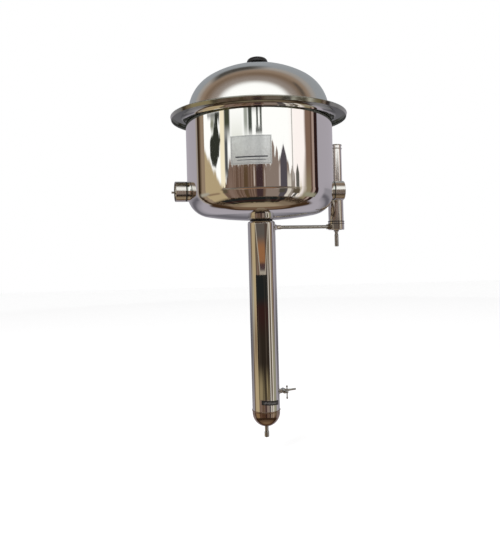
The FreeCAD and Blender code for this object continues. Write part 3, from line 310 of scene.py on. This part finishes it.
# %% Directions on the tent
painted, tree, _ = new_material("tent_paint")
place = add(tree, "TexCoord").outputs["Object"]
x, y, z = add(tree, "SeparateXYZ", {0: place}).outputs
front = calc(tree, "MULTIPLY", y, -1.0)
azimuth = calc(tree, "DEGREES", calc(tree, "ARCTAN2", x, front))
height = calc(tree, "DEGREES", calc(tree, "ARCTAN2", z, hypot(tree, x, y)))
aside = calc(tree, "DEGREES", calc(tree, "ARCCOSINE", calc(tree, "DIVIDE", front, TENT_RADIUS)))
ragged = calc(tree, "SUBTRACT", cloudy(tree, 5.0, 4.0), 0.5)
wobbly = calc(tree, "ADD", azimuth, calc(tree, "MULTIPLY", ragged, WOBBLE))


def streaks(scale, seed):
    """Upright streaks round the tent, as a number from 0 to 1."""
    noise = add(tree, "TexNoise", {"W": calc(tree, "ADD", azimuth, seed), "Scale": scale, "Detail": 3.0},
                noise_dimensions="1D")
    return noise.outputs["Fac"]


def patch(under, left, right, low, high, tone, soft=0.4, across=None):
    """Paints one patch of the view, in degrees round from the front and up from eye height."""
    wide = band(tree, azimuth if across is None else across, left, right, soft)
    return over(tree, under, calc(tree, "MULTIPLY", wide, band(tree, height, low, high, soft)), tone)


print("directions ready")

# %% [markdown]
# ## Painting the tent
# The dome mirrors the open sky and, round it, the ceiling; the upright wall mirrors the view through a wide
# opening, with a town on the skyline, trees at the left and bars hanging from above; the wall's two edges
# mirror the sides of that opening; and the rounded foot mirrors the ground. The next cells paint them in turn.
# A patch is a soft-edged oblong, which a curved mirror shows as a streak, so few shapes need more than that.

# %% Tent, the open sky and the ceiling over it
RING_LEAN = 2.8               # how much sooner the rings start at the right, in degrees for each metre

ring = calc(tree, "ADD", aside, calc(tree, "MULTIPLY", x, RING_LEAN))
ceiling = SKY
for start, end, code in ((50, 65, "8c8178"), (66, 84, "73604f"), (84, 94, "8a7765"), (95, 106, "99938c"),
                         (108, 116, "8e9193")):
    ceiling = over(tree, ceiling, ramp_between(tree, ring, start, end), paint(code))
shade = calc(tree, "MULTIPLY", band(tree, aside, 102, 120, 5.0), ramp_between(tree, x, 0.5, -0.3))
shade = calc(tree, "MULTIPLY", shade, ramp_between(tree, height, 46, 58))
ceiling = over(tree, ceiling, shade, paint("45423d"))
ceiling = patch(ceiling, 73, 82, 24, 52, paint("51483f"), 4.0)
print("ceiling painted")

# %% Tent, the view in front
DOWN, UP = -50, 40            # the foot or the top of whatever runs on out of the opening


def below(line, soft=0.25):
    """1 where the view is lower than the given line, 0 above it."""
    return ramp_between(tree, calc(tree, "SUBTRACT", line, height), -soft, soft)


view = over(tree, SKY, ramp_between(tree, azimuth, 40, 56), paint("fcf3ee"))
view = patch(view, -42, -24, 9, 14.6, paint("dfe0d6"), 3.0)
view = patch(view, -60, -52, 2, 18, paint("efe4c6"), 1.5)
slope = ramp_between(tree, wobbly, -90, -59, 12.3, 7.4, smooth=False)
field = calc(tree, "MULTIPLY", below(slope, 0.5), band(tree, azimuth, -95, -56, 1.5))
view = over(tree, view, field, KHAKI)
print("far view painted")

# %% Tent, the town on the skyline
town_top = ramp_between(tree, streaks(0.30, 3.0), 0.40, 0.60, 10.0, 10.9, smooth=False)
town_top = calc(tree, "SUBTRACT", town_top, ramp_between(tree, azimuth, -44, -54, 0, 3.0))
town_top = calc(tree, "SUBTRACT", town_top, ramp_between(tree, azimuth, 40, 44, 0, 1.2))
town = calc(tree, "MULTIPLY", below(town_top, 0.15), band(tree, azimuth, -57, 52, 1.5))
mottled = over(tree, MAUVE, ramp_between(tree, streaks(0.5, 40.0), 0.45, 0.62), paint("7c6658"))
mottled = over(tree, mottled, ramp_between(tree, azimuth, 6, 10), STONE)
view = over(tree, view, town, mottled)
for middle, half, top, steep, tone in ((19, 2.6, 12.8, 0.36, STONE), (25, 2.0, 12.0, 0.40, STONE),
                                       (35, 5.0, 12.2, 0.30, SLATE), (57, 2.8, 10.0, 0.40, paint("5c5a54"))):
    off_middle = calc(tree, "ABSOLUTE", calc(tree, "SUBTRACT", azimuth, middle))
    gable = below(calc(tree, "SUBTRACT", top, calc(tree, "MULTIPLY", off_middle, steep)), 0.1)
    wide = band(tree, azimuth, middle - half, middle + half, 0.3)
    view = over(tree, view, calc(tree, "MULTIPLY", wide, gable), tone)
for left, right, low, high, tone, soft in (
        (-6, 4, DOWN, 10.6, paint("3d2d2e"), 1.0), (-24, -18, DOWN, 10.4, paint("56432f"), 1.5),
        (-48, -40, DOWN, 9.6, paint("7d685c"), 3.0), (-9.5, -7.5, 7.4, 9.8, paint("b5a79c"), 0.5),
        (5.5, 7.5, -2, 9.6, paint("a99b92"), 0.6), (27.5, 30, 6, 9.9, paint("b5aaa4"), 0.5),
        (40.5, 46.5, DOWN, 8.8, paint("cdc6ba"), 0.8), (46.5, 52.5, DOWN, 8.6, paint("8f857b"), 0.6),
        (48.6, 50.2, 8, 17.5, paint("b0aca6"), 0.3), (60.5, 64, DOWN, 7.8, paint("dcd2c0"), 1.0)):
    view = patch(view, left, right, low, high, tone, soft)
hedge = calc(tree, "SUBTRACT", azimuth, ramp_between(tree, height, 6, 11.5, 60, 69, smooth=False))
hedge = calc(tree, "DIVIDE", hedge, ramp_between(tree, height, 6, 11.5, 15, 5, smooth=False))
bank = over(tree, paint("877a60"), ramp_between(tree, height, 6.5, 11), paint("785f50"))
view = over(tree, view, ramp_between(tree, hedge, 0, 1), bank)
print("town painted")

# %% Tent, trees and hanging bars
OPENING_LEFT, OPENING_RIGHT = -91, 82
EAVES_FOOT, EAVES_TOP = 19, 23

trunk = calc(tree, "ADD", ramp_between(tree, height, 12.6, 14.8, 0, 5, smooth=False), -70.3)
width = calc(tree, "SUBTRACT", ramp_between(tree, height, 9.7, 11.4, 0, 9.6, smooth=False),
             ramp_between(tree, height, 13.2, 14.8, 0, 5.6, smooth=False))
leaves = calc(tree, "SUBTRACT", width, calc(tree, "ABSOLUTE", calc(tree, "SUBTRACT", wobbly, trunk)))
crown = calc(tree, "MULTIPLY", ramp_between(tree, leaves, -0.8, 1.2), band(tree, height, 9, 16.5, 0.2))
view = over(tree, view, crown, LEAF)
for left, right, low, high, tone, soft in (
        (-75, -69.5, 14.3, 16.1, paint("8b8c7c"), 0.8), (-83, -61, 16.0, 16.5, LEAF, 0.5),
        (-52.5, -43.5, 13.6, UP, paint("3f4334"), 1.5), (-52.5, -47.5, 8.6, 13.8, paint("4c4e4e"), 1.2),
        (-22, -16.5, 13.7, UP, paint("9a9e94"), 1.5), (-15.5, -10, 13.7, UP, paint("454a43"), 0.8),
        (-3.6, -1.0, 14.4, UP, paint("4f534c"), 0.4), (1.6, 4.4, 14.4, UP, paint("565a52"), 0.4),
        (-4.8, 4.6, 13.7, 14.5, paint("3b3f39"), 0.4), (-16, 5, 16.6, UP, paint("33362f"), 0.8)):
    view = patch(view, left, right, low, high, tone, soft, wobbly if right < -60 else None)
under_eaves = ramp_between(tree, height, EAVES_TOP, EAVES_FOOT)
opening = band(tree, azimuth, OPENING_LEFT, OPENING_RIGHT, 0.5)
colour = over(tree, ceiling, calc(tree, "MULTIPLY", under_eaves, opening), view)
print("trees painted")

# %% Tent, the two sides of the opening
sides = WALL_GREY
for left, right, soft, code in ((-112, 0, 2.0, "9a8f84"), (-108, 0, 0.8, "37291a"), (-102, 0, 0.8, "6f5e4b"),
                                (-99, 0, 1.0, "907d68"), (0, 97.5, 1.0, "271815"), (0, 90, 0.6, "a18c82"),
                                (0, 85.5, 0.8, "634d40")):
    sides = over(tree, sides, band(tree, azimuth, left, right, soft), paint(code))
beside = calc(tree, "MULTIPLY", under_eaves, calc(tree, "SUBTRACT", 1.0, opening))
colour = over(tree, colour, beside, sides)
print("sides painted")

# %% Tent, the low part of the view
for left, right, low, high, tone, soft in (
        (-58, -50, -14, 4, paint("544b3b"), 3.0), (-60, -26, -2.4, 2.2, paint("5f5242"), 3.0),
        (26, 62, -2.4, 2.2, paint("6b5f4d"), 3.0),
        (28, 38, -20, -3.5, paint("4a453c"), 2.0), (50, 62, -20, -3, paint("574d3d"), 2.0),
        (-104, -84, -12, -4, paint("a39d8e"), 4.0), (-88, -64, -15, -10, paint("7a634e"), 4.0),
        (72, 96, -26, -12, paint("8f8c76"), 5.0)):
    colour = patch(colour, left, right, low, high, tone, soft)
wedge = calc(tree, "SUBTRACT", ramp_between(tree, height, -3.6, 3.4, 24, 58, smooth=False),
             calc(tree, "ABSOLUTE", azimuth))
outer = calc(tree, "MULTIPLY", ramp_between(tree, wedge, -4, 0), band(tree, height, -4.0, 3.4, 0.3))
colour = over(tree, colour, outer, paint("a49b8c"))
inside = over(tree, paint("403033"), ramp_between(tree, height, -2.7, -2.3), paint("8e6240"))
inside = over(tree, inside, ramp_between(tree, height, -0.6, 1.4), paint("57514b"))
inside = over(tree, inside, ramp_between(tree, azimuth, 16, 30), paint("4d4038"))
inner = calc(tree, "MULTIPLY", ramp_between(tree, wedge, 3, 7), band(tree, height, -3.5, 3.4, 0.2))
colour = over(tree, colour, inner, inside)
print("low view painted")

# %% Tent, the ground and the wall behind
litter = cloudy(tree, 9.0, 3.0)
behind = ramp_between(tree, aside, 94, 100)
ground = over(tree, paint("33271c"), ramp_between(tree, litter, 0.50, 0.66), paint("756350"))
ground = over(tree, ground, ramp_between(tree, height, -50, -62), paint("7b6a57"))
ground = over(tree, ground, ramp_between(tree, height, -66, -78), paint("95856d"))
ground = over(tree, ground, behind, paint("6a5340"))
skirting = calc(tree, "MULTIPLY", behind, ramp_between(tree, height, -66, -60))
ground = over(tree, ground, skirting, paint("3d2b1b"))
scattered = calc(tree, "MULTIPLY", ramp_between(tree, height, -34, -42), ramp_between(tree, litter, 0.30, 0.36))
colour = over(tree, colour, scattered, ground)
colour = over(tree, colour, ramp_between(tree, height, -42, -46), ground)
rear = over(tree, WALL_GREY, ramp_between(tree, height, -30, -18), paint("89858a"))
rear = over(tree, rear, band(tree, height, -17, -7, 4.0), paint("625f64"))
rear = over(tree, rear, ramp_between(tree, height, 18, 28), paint("8e9193"))
wall = calc(tree, "MULTIPLY", band(tree, height, -56, 6, 2.5), ramp_between(tree, aside, 98, 120))
wall = calc(tree, "MULTIPLY", ramp_between(tree, aside, 108, 116), wall)
glow(tree, over(tree, colour, wall, rear))
tent.data.materials.append(painted)
print("tent painted with", len(tree.nodes), "nodes")

# %% [markdown]
# ## The dark card
# A bright tube in front of a bright room looks flat. Photographers hold a dark card close in front of it,
# just out of the picture, and the tube then shows one dark core between bright flanks. This card is bent
# round the still's axis, and like the tent it is there for mirror rays alone.

# %% Dark card
CARD_RADIUS = 0.25
CARD_TOP, CARD_FOOT = RIM - 0.287, RIM - 0.55
CARD_LEFT, CARD_RIGHT = -58, 34       # degrees round from the front
CARD_STEPS = 16

black_card, tree, _ = new_material("card_paint")
spot = add(tree, "TexCoord").outputs["Object"]
folds = add(tree, "VectorMath", {0: spot, 1: (30.0, 30.0, 3.0)}, operation="MULTIPLY").outputs[0]
cloth = add(tree, "TexNoise", {"Vector": folds, "Scale": 1.0, "Detail": 2.0}).outputs["Fac"]
up = add(tree, "SeparateXYZ", {0: spot}).outputs[2]
tone = over(tree, paint("2a231c"), band(tree, up, RIM - 0.40, RIM, 0.03), paint("301d1a"))
tone = over(tree, tone, ramp_between(tree, up, RIM - 0.36, RIM - 0.33), paint("1f2120"))
tone = over(tree, tone, ramp_between(tree, cloth, 0.5, 0.75), paint("4c4238"))
hem = calc(tree, "MULTIPLY", ramp_between(tree, up, RIM - 0.47, RIM - 0.53),
           ramp_between(tree, cloth, 0.38, 0.55))
glow(tree, over(tree, tone, hem, paint("8a7b5c")))

card_mesh = bmesh.new()
columns = []
for step in range(CARD_STEPS + 1):
    way = outwards(CARD_LEFT + (CARD_RIGHT - CARD_LEFT) * step / CARD_STEPS)
    columns.append([card_mesh.verts.new(on_axis(level) + way * CARD_RADIUS) for level in (CARD_FOOT, CARD_TOP)])
for one, two in zip(columns, columns[1:]):
    card_mesh.faces.new((one[0], two[0], two[1], one[1]))
card = into_object("dark_card", card_mesh, black_card)
for_mirrors_only(card)
print("card", round(CARD_TOP - CARD_FOOT, 3), "m tall")

# %% [markdown]
# ## Effects that several finishes share
# Even a mirror finish is not even: cloth and fingers leave haze, and thin sheet is never quite true, which
# makes straight reflections wander. Both effects are node groups, built once and set differently in each
# material. They put out a number or a normal, and the shader itself stays in the material.

# %% Shared node groups
def new_group(name, inputs, output, kind):
    """A shader node group with number inputs and one output. Returns its tree and its two end nodes."""
    group = bpy.data.node_groups.new(name, "ShaderNodeTree")
    for label in inputs:
        group.interface.new_socket(label, in_out="INPUT", socket_type="NodeSocketFloat")
    group.interface.new_socket(output, in_out="OUTPUT", socket_type=kind)
    return group, group.nodes.new("NodeGroupInput").outputs, group.nodes.new("NodeGroupOutput").inputs


haze, given, result = new_group("haze", ("Scale", "Low", "High"), "Roughness", "NodeSocketFloat")
spot = add(haze, "TexCoord").outputs["Object"]
cloud = add(haze, "TexNoise", {"Vector": spot, "Scale": given["Scale"], "Detail": 5.0, "Roughness": 0.6})
dullness = ramp_between(haze, cloud.outputs["Fac"], 0.35, 0.75, given["Low"], given["High"], smooth=False)
haze.links.new(dullness, result["Roughness"])

sheet, given, result = new_group("sheet_waves", ("Scale", "Height"), "Normal", "NodeSocketVector")
swell = cloudy(sheet, given["Scale"], 1.0)
bump = add(sheet, "Bump", {"Height": swell, "Distance": given["Height"], "Strength": 1.0})
sheet.links.new(bump.outputs[0], result["Normal"])
print("groups", [g.name for g in bpy.data.node_groups])

# %% [markdown]
# ## Finishes
# Every finish here is one recipe with other numbers: a base colour, a haze between two roughnesses, and a
# surface that is a little wavy or grainy. Metals are fully metallic and differ in tint and haze; rubber, the
# moulded knob and the glazed bushes are not metallic. The lid and the wall are polished all over. On the
# faces under the brim their base colour is darkened and mottled, which is painted shade under the brim.

# %% Polished steel
def coat(name, colour, metallic, haze_values, wave_scale, wave_height):
    """A material with haze from (scale, low, high) and waves of the given scale and height."""
    material, tree, shader = new_material(name)
    shader.inputs["Base Color"].default_value = colour
    shader.inputs["Metallic"].default_value = metallic
    film = add(tree, "Group", dict(zip(("Scale", "Low", "High"), haze_values)), node_tree=haze)
    waves = add(tree, "Group", {"Scale": wave_scale, "Height": wave_height}, node_tree=sheet)
    tree.links.new(film.outputs[0], shader.inputs["Roughness"])
    tree.links.new(waves.outputs[0], shader.inputs["Normal"])
    return material


def polished(name, colour, low, high, wave_scale, wave_height):
    return coat(name, colour + (1,), 1.0, (18.0, low, high), wave_scale, wave_height)


steel = polished("polished_steel", STEEL, 0.02, 0.06, 9.0, 0.0004)
lid_steel = polished("pressed_lid_steel", STEEL, 0.10, 0.19, 12.0, 0.0003)
drum_steel = polished("drum_steel", STEEL, 0.02, 0.06, 9.0, 0.0004)
tube_steel = polished("drawn_tube_steel", (0.76, 0.745, 0.72), 0.07, 0.15, 30.0, 0.00004)
shroud_steel = polished("brushed_shroud_steel", (0.70, 0.68, 0.64), 0.17, 0.27, 40.0, 0.00005)
plated = polished("plated_brass", (0.66, 0.63, 0.57), 0.12, 0.25, 60.0, 0.0001)
brass = polished("turned_brass", (0.72, 0.53, 0.27), 0.18, 0.35, 60.0, 0.0001)
tinted = polished("heat_tinted_steel", (0.42, 0.32, 0.25), 0.06, 0.14, 40.0, 0.0001)
dull_steel = polished("dull_steel", (0.52, 0.53, 0.51), 0.24, 0.34, 60.0, 0.0001)
satin = polished("satin_steel", (0.60, 0.59, 0.58), 0.28, 0.42, 60.0, 0.0001)
sheath = polished("heater_sheath", (0.22, 0.20, 0.19), 0.35, 0.55, 60.0, 0.0001)
print("metal finishes ready")

# %% Painted shade on the faces under the brim
# a darker, mottled base colour for the faces under the brim: painted shade where the brim hangs over them
UNDER_BRIM_PAINTED_SHADE = (0.40, 0.42, 0.37, 1)
ZONE_START, ZONE_END = WALL_RADIUS + 0.0005, WALL_RADIUS + 0.004
ZONE_TOP, ZONE_FADE = RIM + 0.0002, 0.0007

# paints the shade under the brim into the base colour of the lid and the drum; their roughness stays as it is
for pressed in (lid_steel, drum_steel):
    tree = pressed.node_tree
    spot = add(tree, "TexCoord").outputs["Object"]
    right, back, up = add(tree, "SeparateXYZ", {0: spot}).outputs
    radius = hypot(tree, right, calc(tree, "SUBTRACT", back, AXIS.y))
    under_brim = calc(tree, "MULTIPLY", ramp_between(tree, radius, ZONE_START, ZONE_END),
                      ramp_between(tree, up, ZONE_TOP + ZONE_FADE, ZONE_TOP))
    marks = ramp_between(tree, cloudy(tree, 45.0, 3.0), 0.2, 0.5, 0.8, 1)
    tone = over(tree, STEEL + (1,), calc(tree, "MULTIPLY", under_brim, marks), UNDER_BRIM_PAINTED_SHADE)
    tree.links.new(tone, tree.nodes["Principled BSDF"].inputs["Base Color"])
print("left painted_shade from", round(1000 * ZONE_START, 1), "mm out")


# %% Rubber, moulding and glaze
def plain(name, colour, roughness, grain_scale, grain_height):
    """A finish that is no metal."""
    return coat(name, colour + (1,), 0.0, (120.0, roughness, roughness + 0.12), grain_scale, grain_height)


rubber = plain("black_rubber", (0.022, 0.021, 0.020), 0.55, 900.0, 0.00005)
moulding = plain("black_knob", (0.012, 0.013, 0.014), 0.22, 90.0, 0.0001)
glaze = plain("white_ceramic", (0.80, 0.78, 0.72), 0.12, 120.0, 0.00005)
print("materials", len(bpy.data.materials))

# %% Finishes on the pieces
FINISHES = {"polished_steel": steel, "satin_steel": satin, "plated_brass": plated, "brass": brass,
            "black_rubber": rubber, "black_knob": moulding, "white_ceramic": glaze, "heater_sheath": sheath}
OWN_FINISHES = (
    (tube_steel, ("level_tube", "level_chamber", "level_chamber_base", "level_chamber_cap",
                  "cross_pipe_ferrule")),
    (shroud_steel, ("left_heater_shroud", "right_heater_shroud")),
    (dull_steel, ("cross_pipe", "distillate_spout", "cock_body", "cock_key", "cock_key_bar",
                  "overflow_nozzle")),
    (tinted, ("condenser_bottom_cap",)),
    (drum_steel, ("boiler_drum",)))

for part in frame["record"]["subparts"]:
    mesh = frame["nodes"][part["node"]].data
    mesh.materials.clear()
    mesh.materials.append(FINISHES[part["material_slot"]])
for finish, names in OWN_FINISHES:
    for name in names:
        frame["nodes"][name].data.materials[0] = finish
print("finishes set on", len(frame["nodes"]), "pieces")

# %% [markdown]
# ## The lid
# The lid is pressed from one disc of sheet: a dome whose crown is part of a large ball and whose shoulder is
# part of a small one, a flat brim, and a lip turned down and a little in so that it is stiff and not sharp. A
# dome of two arcs is how such lids are drawn for the press. Half of its section goes round the axis, as on a
# spinning lathe. It takes the place of the solid model's plainer lid: as wide and as high, with a fuller dome
# and a deeper lip.

# %% Lid section
SHEET = 0.001
DOME_RADIUS, DOME_TOP = WALL_RADIUS - 0.0045, 0.090
FILLET, BASE = 0.004, 0.005
SHOULDER = 0.83 * (DOME_TOP - BASE)
LIP_TURN, LIP_FOOT, LIP_LEAN = 0.0016, -0.0060, 14    # the last in degrees
BRIM_RADIUS = lid_high.x - AXIS.x
BORE_RADIUS = 0.00255         # for the knob's screw
LONG_ARC, SHORT_ARC = 40, 10  # steps

reach = DOME_RADIUS - SHOULDER
rise = DOME_TOP - BASE
CROWN = (reach ** 2 + rise ** 2 - SHOULDER ** 2) / (2 * (rise - SHOULDER))
meeting = math.degrees(math.atan2(BASE - (DOME_TOP - CROWN), reach))


def sweep(centre_r, centre_z, radius, start, end, steps):
    """Points of an arc in the section, from one angle to another, in degrees from the outward direction."""
    angles = [math.radians(start + (end - start) * n / steps) for n in range(steps + 1)]
    return [(centre_r + radius * math.cos(a), centre_z + radius * math.sin(a)) for a in angles]


def lid_face(inset):
    """The section's outer face, or its inner face one sheet further in, from the hole to the lip's foot."""
    bore = math.degrees(math.acos(BORE_RADIUS / (CROWN - inset)))
    line = sweep(0, DOME_TOP - CROWN, CROWN - inset, bore, meeting, LONG_ARC)
    line += sweep(reach, BASE, SHOULDER - inset, meeting, 0, LONG_ARC)[1:]
    line += sweep(DOME_RADIUS + FILLET, BASE, FILLET + inset, 180, 270, SHORT_ARC)[1:]
    line += sweep(BRIM_RADIUS - LIP_TURN, SHEET - LIP_TURN, LIP_TURN - inset, 90, -LIP_LEAN, SHORT_ARC)
    drop = line[-1][1] - LIP_FOOT
    return line + [(line[-1][0] - drop * math.tan(math.radians(LIP_LEAN)), LIP_FOOT)]


print("crown", round(CROWN * 1000, 1), "mm, shoulder", round(SHOULDER * 1000, 1), "mm")

# %% Lid
LATHE_STEPS = 256
SAME_PLACE = 1e-6
CRISP_CORNER = math.radians(50)       # sharper corners than this stay crisp


def lathe(name, section, height, finish):
    """Turns a closed section round the still's axis."""
    shape = bmesh.new()
    corners = [shape.verts.new((AXIS.x + r, AXIS.y, height + z)) for r, z in section]
    edges = [shape.edges.new((a, b)) for a, b in zip(corners, corners[1:] + corners[:1])]
    bmesh.ops.spin(shape, geom=corners + edges, cent=on_axis(0), axis=(0, 0, 1), angle=math.tau,
                   steps=LATHE_STEPS, use_merge=True)
    bmesh.ops.remove_doubles(shape, verts=shape.verts, dist=SAME_PLACE)
    bmesh.ops.recalc_face_normals(shape, faces=shape.faces)
    for face in shape.faces:
        face.smooth = True
    for edge in shape.edges:
        edge.smooth = edge.calc_face_angle(0) < CRISP_CORNER
    return into_object(name, shape, finish)


lid = lathe("pressed_lid", lid_face(0) + lid_face(SHEET)[::-1], RIM, lid_steel)
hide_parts("boiler_lid")
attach(lid, "still")
print("pressed_lid", len(lid.data.polygons), "faces")

# %% [markdown]
# ## The label plate and the tape
# A thin silver plate lies against the wall, and a short strip of tape is stuck round the condenser's foot.
# Both are small sheets bent to a tube, so one helper makes them: a grid whose columns stand round the axis,
# with a flat map that runs from 0 to 1 both ways, on which the finish paints its borders.

# %% Bent sheets
SHEET_LIFT = 0.00002          # keeps a sheet's back just off the metal
CRISP_EDGE = 0.7              # radians; sharper edges than this stay crisp


def bent_sheet(name, radius, azimuth, width, below_rim, height, thickness, finish, columns=48, droop=0.0):
    """A thin sheet lying on a tube round the still's axis. Its right end may droop a little."""
    shape = bmesh.new()
    chart = shape.loops.layers.uv.new("sheet")
    half = math.degrees(width / radius / 2)
    foot, top = RIM - below_rim - height / 2, RIM - below_rim + height / 2
    grid = {}
    for n in range(columns + 1):
        way = outwards(azimuth - half + 2 * half * n / columns)
        for k, level in enumerate((foot, top)):
            for side, out in enumerate((radius + SHEET_LIFT, radius + thickness)):
                grid[n, k, side] = shape.verts.new(on_axis(level - droop * n / columns) + way * out)
    for n in range(columns):
        rings = [[grid[m, 0, 1], grid[m, 1, 1], grid[m, 1, 0], grid[m, 0, 0]] for m in (n, n + 1)]
        for a in range(4):
            b = (a + 1) % 4
            shape.faces.new((rings[0][a], rings[1][a], rings[1][b], rings[0][b]))
    for n in (0, columns):
        shape.faces.new([grid[n, 0, 1], grid[n, 1, 1], grid[n, 1, 0], grid[n, 0, 0]])
    bmesh.ops.recalc_face_normals(shape, faces=shape.faces)
    where = {vert: (key[0] / columns, key[1]) for key, vert in grid.items()}
    for face in shape.faces:
        face.smooth = len({where[vert][0] for vert in face.verts}) > 1
        for loop in face.loops:
            loop[chart].uv = where[loop.vert]
    for edge in shape.edges:
        edge.smooth = edge.calc_face_angle(0) < CRISP_EDGE
    piece = into_object(name, shape, finish)
    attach(piece, "still")
    return piece


def oblong(tree, left, right, foot, top, soft_across, soft_up):
    """1 inside an oblong of the sheet's flat map, 0 outside it."""
    across, up, _ = add(tree, "SeparateXYZ", {0: add(tree, "TexCoord").outputs["UV"]}).outputs
    return calc(tree, "MULTIPLY", band(tree, across, left, right, soft_across),
                band(tree, up, foot, top, soft_up))


print("sheet helpers ready")

# %% Label plate
PLATE_WIDTH, PLATE_HEIGHT, PLATE_THICKNESS = 0.065, 0.045, 0.0003
PLATE_AZIMUTH, PLATE_BELOW_RIM = -6.0, 0.0765
FOIL, WORN_FOIL, INK = (0.60, 0.61, 0.60, 1), (0.56, 0.57, 0.56, 1), (0.045, 0.045, 0.05, 1)

plate_finish, tree, shader = new_material("silver_label")
border = calc(tree, "SUBTRACT", oblong(tree, 0.022, 0.978, 0.032, 0.968, 0.003, 0.004),
              oblong(tree, 0.035, 0.965, 0.05, 0.95, 0.003, 0.004))
bars = calc(tree, "ADD", oblong(tree, 0.12, 0.90, 0.235, 0.285, 0.004, 0.006),
            oblong(tree, 0.16, 0.86, 0.14, 0.165, 0.004, 0.006))
inked = calc(tree, "MINIMUM", calc(tree, "ADD", calc(tree, "MULTIPLY", border, 0.5), bars), 1.0)
grain = cloudy(tree, 260.0, 4.0)
foil = over(tree, FOIL, ramp_between(tree, grain, 0.35, 0.7), WORN_FOIL)
tree.links.new(over(tree, foil, inked, INK), shader.inputs["Base Color"])
tree.links.new(calc(tree, "SUBTRACT", 0.72, calc(tree, "MULTIPLY", inked, 0.7)), shader.inputs["Metallic"])
tree.links.new(ramp_between(tree, grain, 0.3, 0.8, 0.16, 0.21), shader.inputs["Roughness"])
plate = bent_sheet("label_plate", WALL_RADIUS, PLATE_AZIMUTH, PLATE_WIDTH, PLATE_BELOW_RIM, PLATE_HEIGHT,
                   PLATE_THICKNESS, plate_finish)
print("label plate", len(plate.data.polygons), "faces")

# %% Tape strip
TAPE_WIDTH, TAPE_HEIGHT, TAPE_THICKNESS = 0.0335, 0.0078, 0.00018
TAPE_AZIMUTH, TAPE_BELOW_RIM, TAPE_DROOP = 21, 0.4945, 0.0028
BLACK, WORN_BLACK = (0.018, 0.017, 0.016, 1), (0.16, 0.15, 0.15, 1)

tape_finish, tree, shader = new_material("black_tape")
weave = cloudy(tree, 500.0, 3.0)
middle = oblong(tree, 0.12, 0.93, 0.28, 0.66, 0.05, 0.1)
worn = calc(tree, "MULTIPLY", middle, ramp_between(tree, weave, 0.35, 0.6))
tree.links.new(over(tree, BLACK, worn, WORN_BLACK), shader.inputs["Base Color"])
tree.links.new(ramp_between(tree, weave, 0.3, 0.7, 0.34, 0.5), shader.inputs["Roughness"])
tape = bent_sheet("tape_strip", JACKET_RADIUS, TAPE_AZIMUTH, TAPE_WIDTH, TAPE_BELOW_RIM, TAPE_HEIGHT,
                  TAPE_THICKNESS, tape_finish, 24, TAPE_DROOP)
print("tape strip", len(tape.data.polygons), "faces")

# %% [markdown]
# ## Weld beads of the wall hanger
# The hanger is held to the wall by a bead of weld down each edge. A bead is a row of overlapping ripples, so
# Geometry Nodes make it: a line is cut into even steps, and a flattened pebble lands on each, a little
# turned and a little bigger or smaller than the last. Spacing, size and seed are inputs of the tree.

# %% Weld bead tree
weld = bpy.data.node_groups.new("weld_bead", "GeometryNodeTree")
weld.interface.new_socket("Geometry", in_out="INPUT", socket_type="NodeSocketGeometry")
for label, kind in (("Spacing", "NodeSocketFloat"), ("Radius", "NodeSocketFloat"),
                    ("Seed", "NodeSocketInt"), ("Finish", "NodeSocketMaterial")):
    weld.interface.new_socket(label, in_out="INPUT", socket_type=kind)
weld.interface.new_socket("Geometry", in_out="OUTPUT", socket_type="NodeSocketGeometry")


given = make(weld, "NodeGroupInput").outputs


def random_vector(low, high):
    """Another vector for each pebble, somewhere between two corners."""
    return make(weld, "FunctionNodeRandomValue", {"Min": low, "Max": high, "Seed": given["Seed"]},
                data_type="FLOAT_VECTOR").outputs[0]


line = make(weld, "GeometryNodeMeshToCurve", {"Mesh": given["Geometry"]}).outputs[0]
marks = make(weld, "GeometryNodeResampleCurve", {"Curve": line, "Length": given["Spacing"]}, mode="LENGTH")
pebble = make(weld, "GeometryNodeMeshIcoSphere", {"Radius": given["Radius"], "Subdivisions": 2})
squash = random_vector((0.85, 0.85, 0.5), (1.1, 1.1, 0.62))
twist = random_vector((-0.2, -0.2, -0.4), (0.2, 0.2, 0.4))
row = make(weld, "GeometryNodeInstanceOnPoints",
           {"Points": marks.outputs[0], "Instance": pebble.outputs["Mesh"], "Rotation": twist, "Scale": squash})
solid = make(weld, "GeometryNodeRealizeInstances", {"Geometry": row.outputs[0]}).outputs[0]
smooth = make(weld, "GeometryNodeSetShadeSmooth", {"Geometry": solid}).outputs[0]
coated = make(weld, "GeometryNodeSetMaterial", {"Geometry": smooth, "Material": given["Finish"]}).outputs[0]
weld.links.new(coated, make(weld, "NodeGroupOutput").inputs[0])
print("weld tree with", len(weld.nodes), "nodes")

# %% Weld beads
BEAD_INSET = 0.0004           # of the bead's line from the hanger's edge
BEAD_END_GAP = 0.002          # left bare at the hanger's top and foot
weld_finish = polished("weld_steel", (0.50, 0.47, 0.44), 0.25, 0.45, 400.0, 0.00003)
BEAD = {"Spacing": 0.0013, "Radius": 0.0017, "Seed": 4, "Finish": weld_finish}

hanger_low, hanger_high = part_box("wall_hanger")
edge_lines = bmesh.new()
for side in (-1, 1):
    edge_x = side * (hanger_high.x - BEAD_INSET)
    wall_y = AXIS.y + math.sqrt(WALL_RADIUS ** 2 - edge_x ** 2)
    ends = [edge_lines.verts.new((edge_x, wall_y, level))
            for level in (hanger_low.z + BEAD_END_GAP, hanger_high.z - BEAD_END_GAP)]
    edge_lines.edges.new(ends)
guide = into_object("weld_guide", edge_lines)
bead_maker = guide.modifiers.new("bead", "NODES")
bead_maker.node_group = weld
for item in weld.interface.items_tree:
    if item.in_out == "INPUT" and item.name in BEAD:
        bead_maker[item.identifier] = BEAD[item.name]
made = bpy.data.meshes.new_from_object(guide.evaluated_get(bpy.context.evaluated_depsgraph_get()))
beads = bpy.data.objects.new("hanger_weld_beads", made)
bpy.context.scene.collection.objects.link(beads)
bpy.data.objects.remove(guide)
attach(beads, "still")
print("weld beads", len(beads.data.polygons), "faces")

# %% Finish
bpy.context.scene.view_settings.view_transform = "Standard"
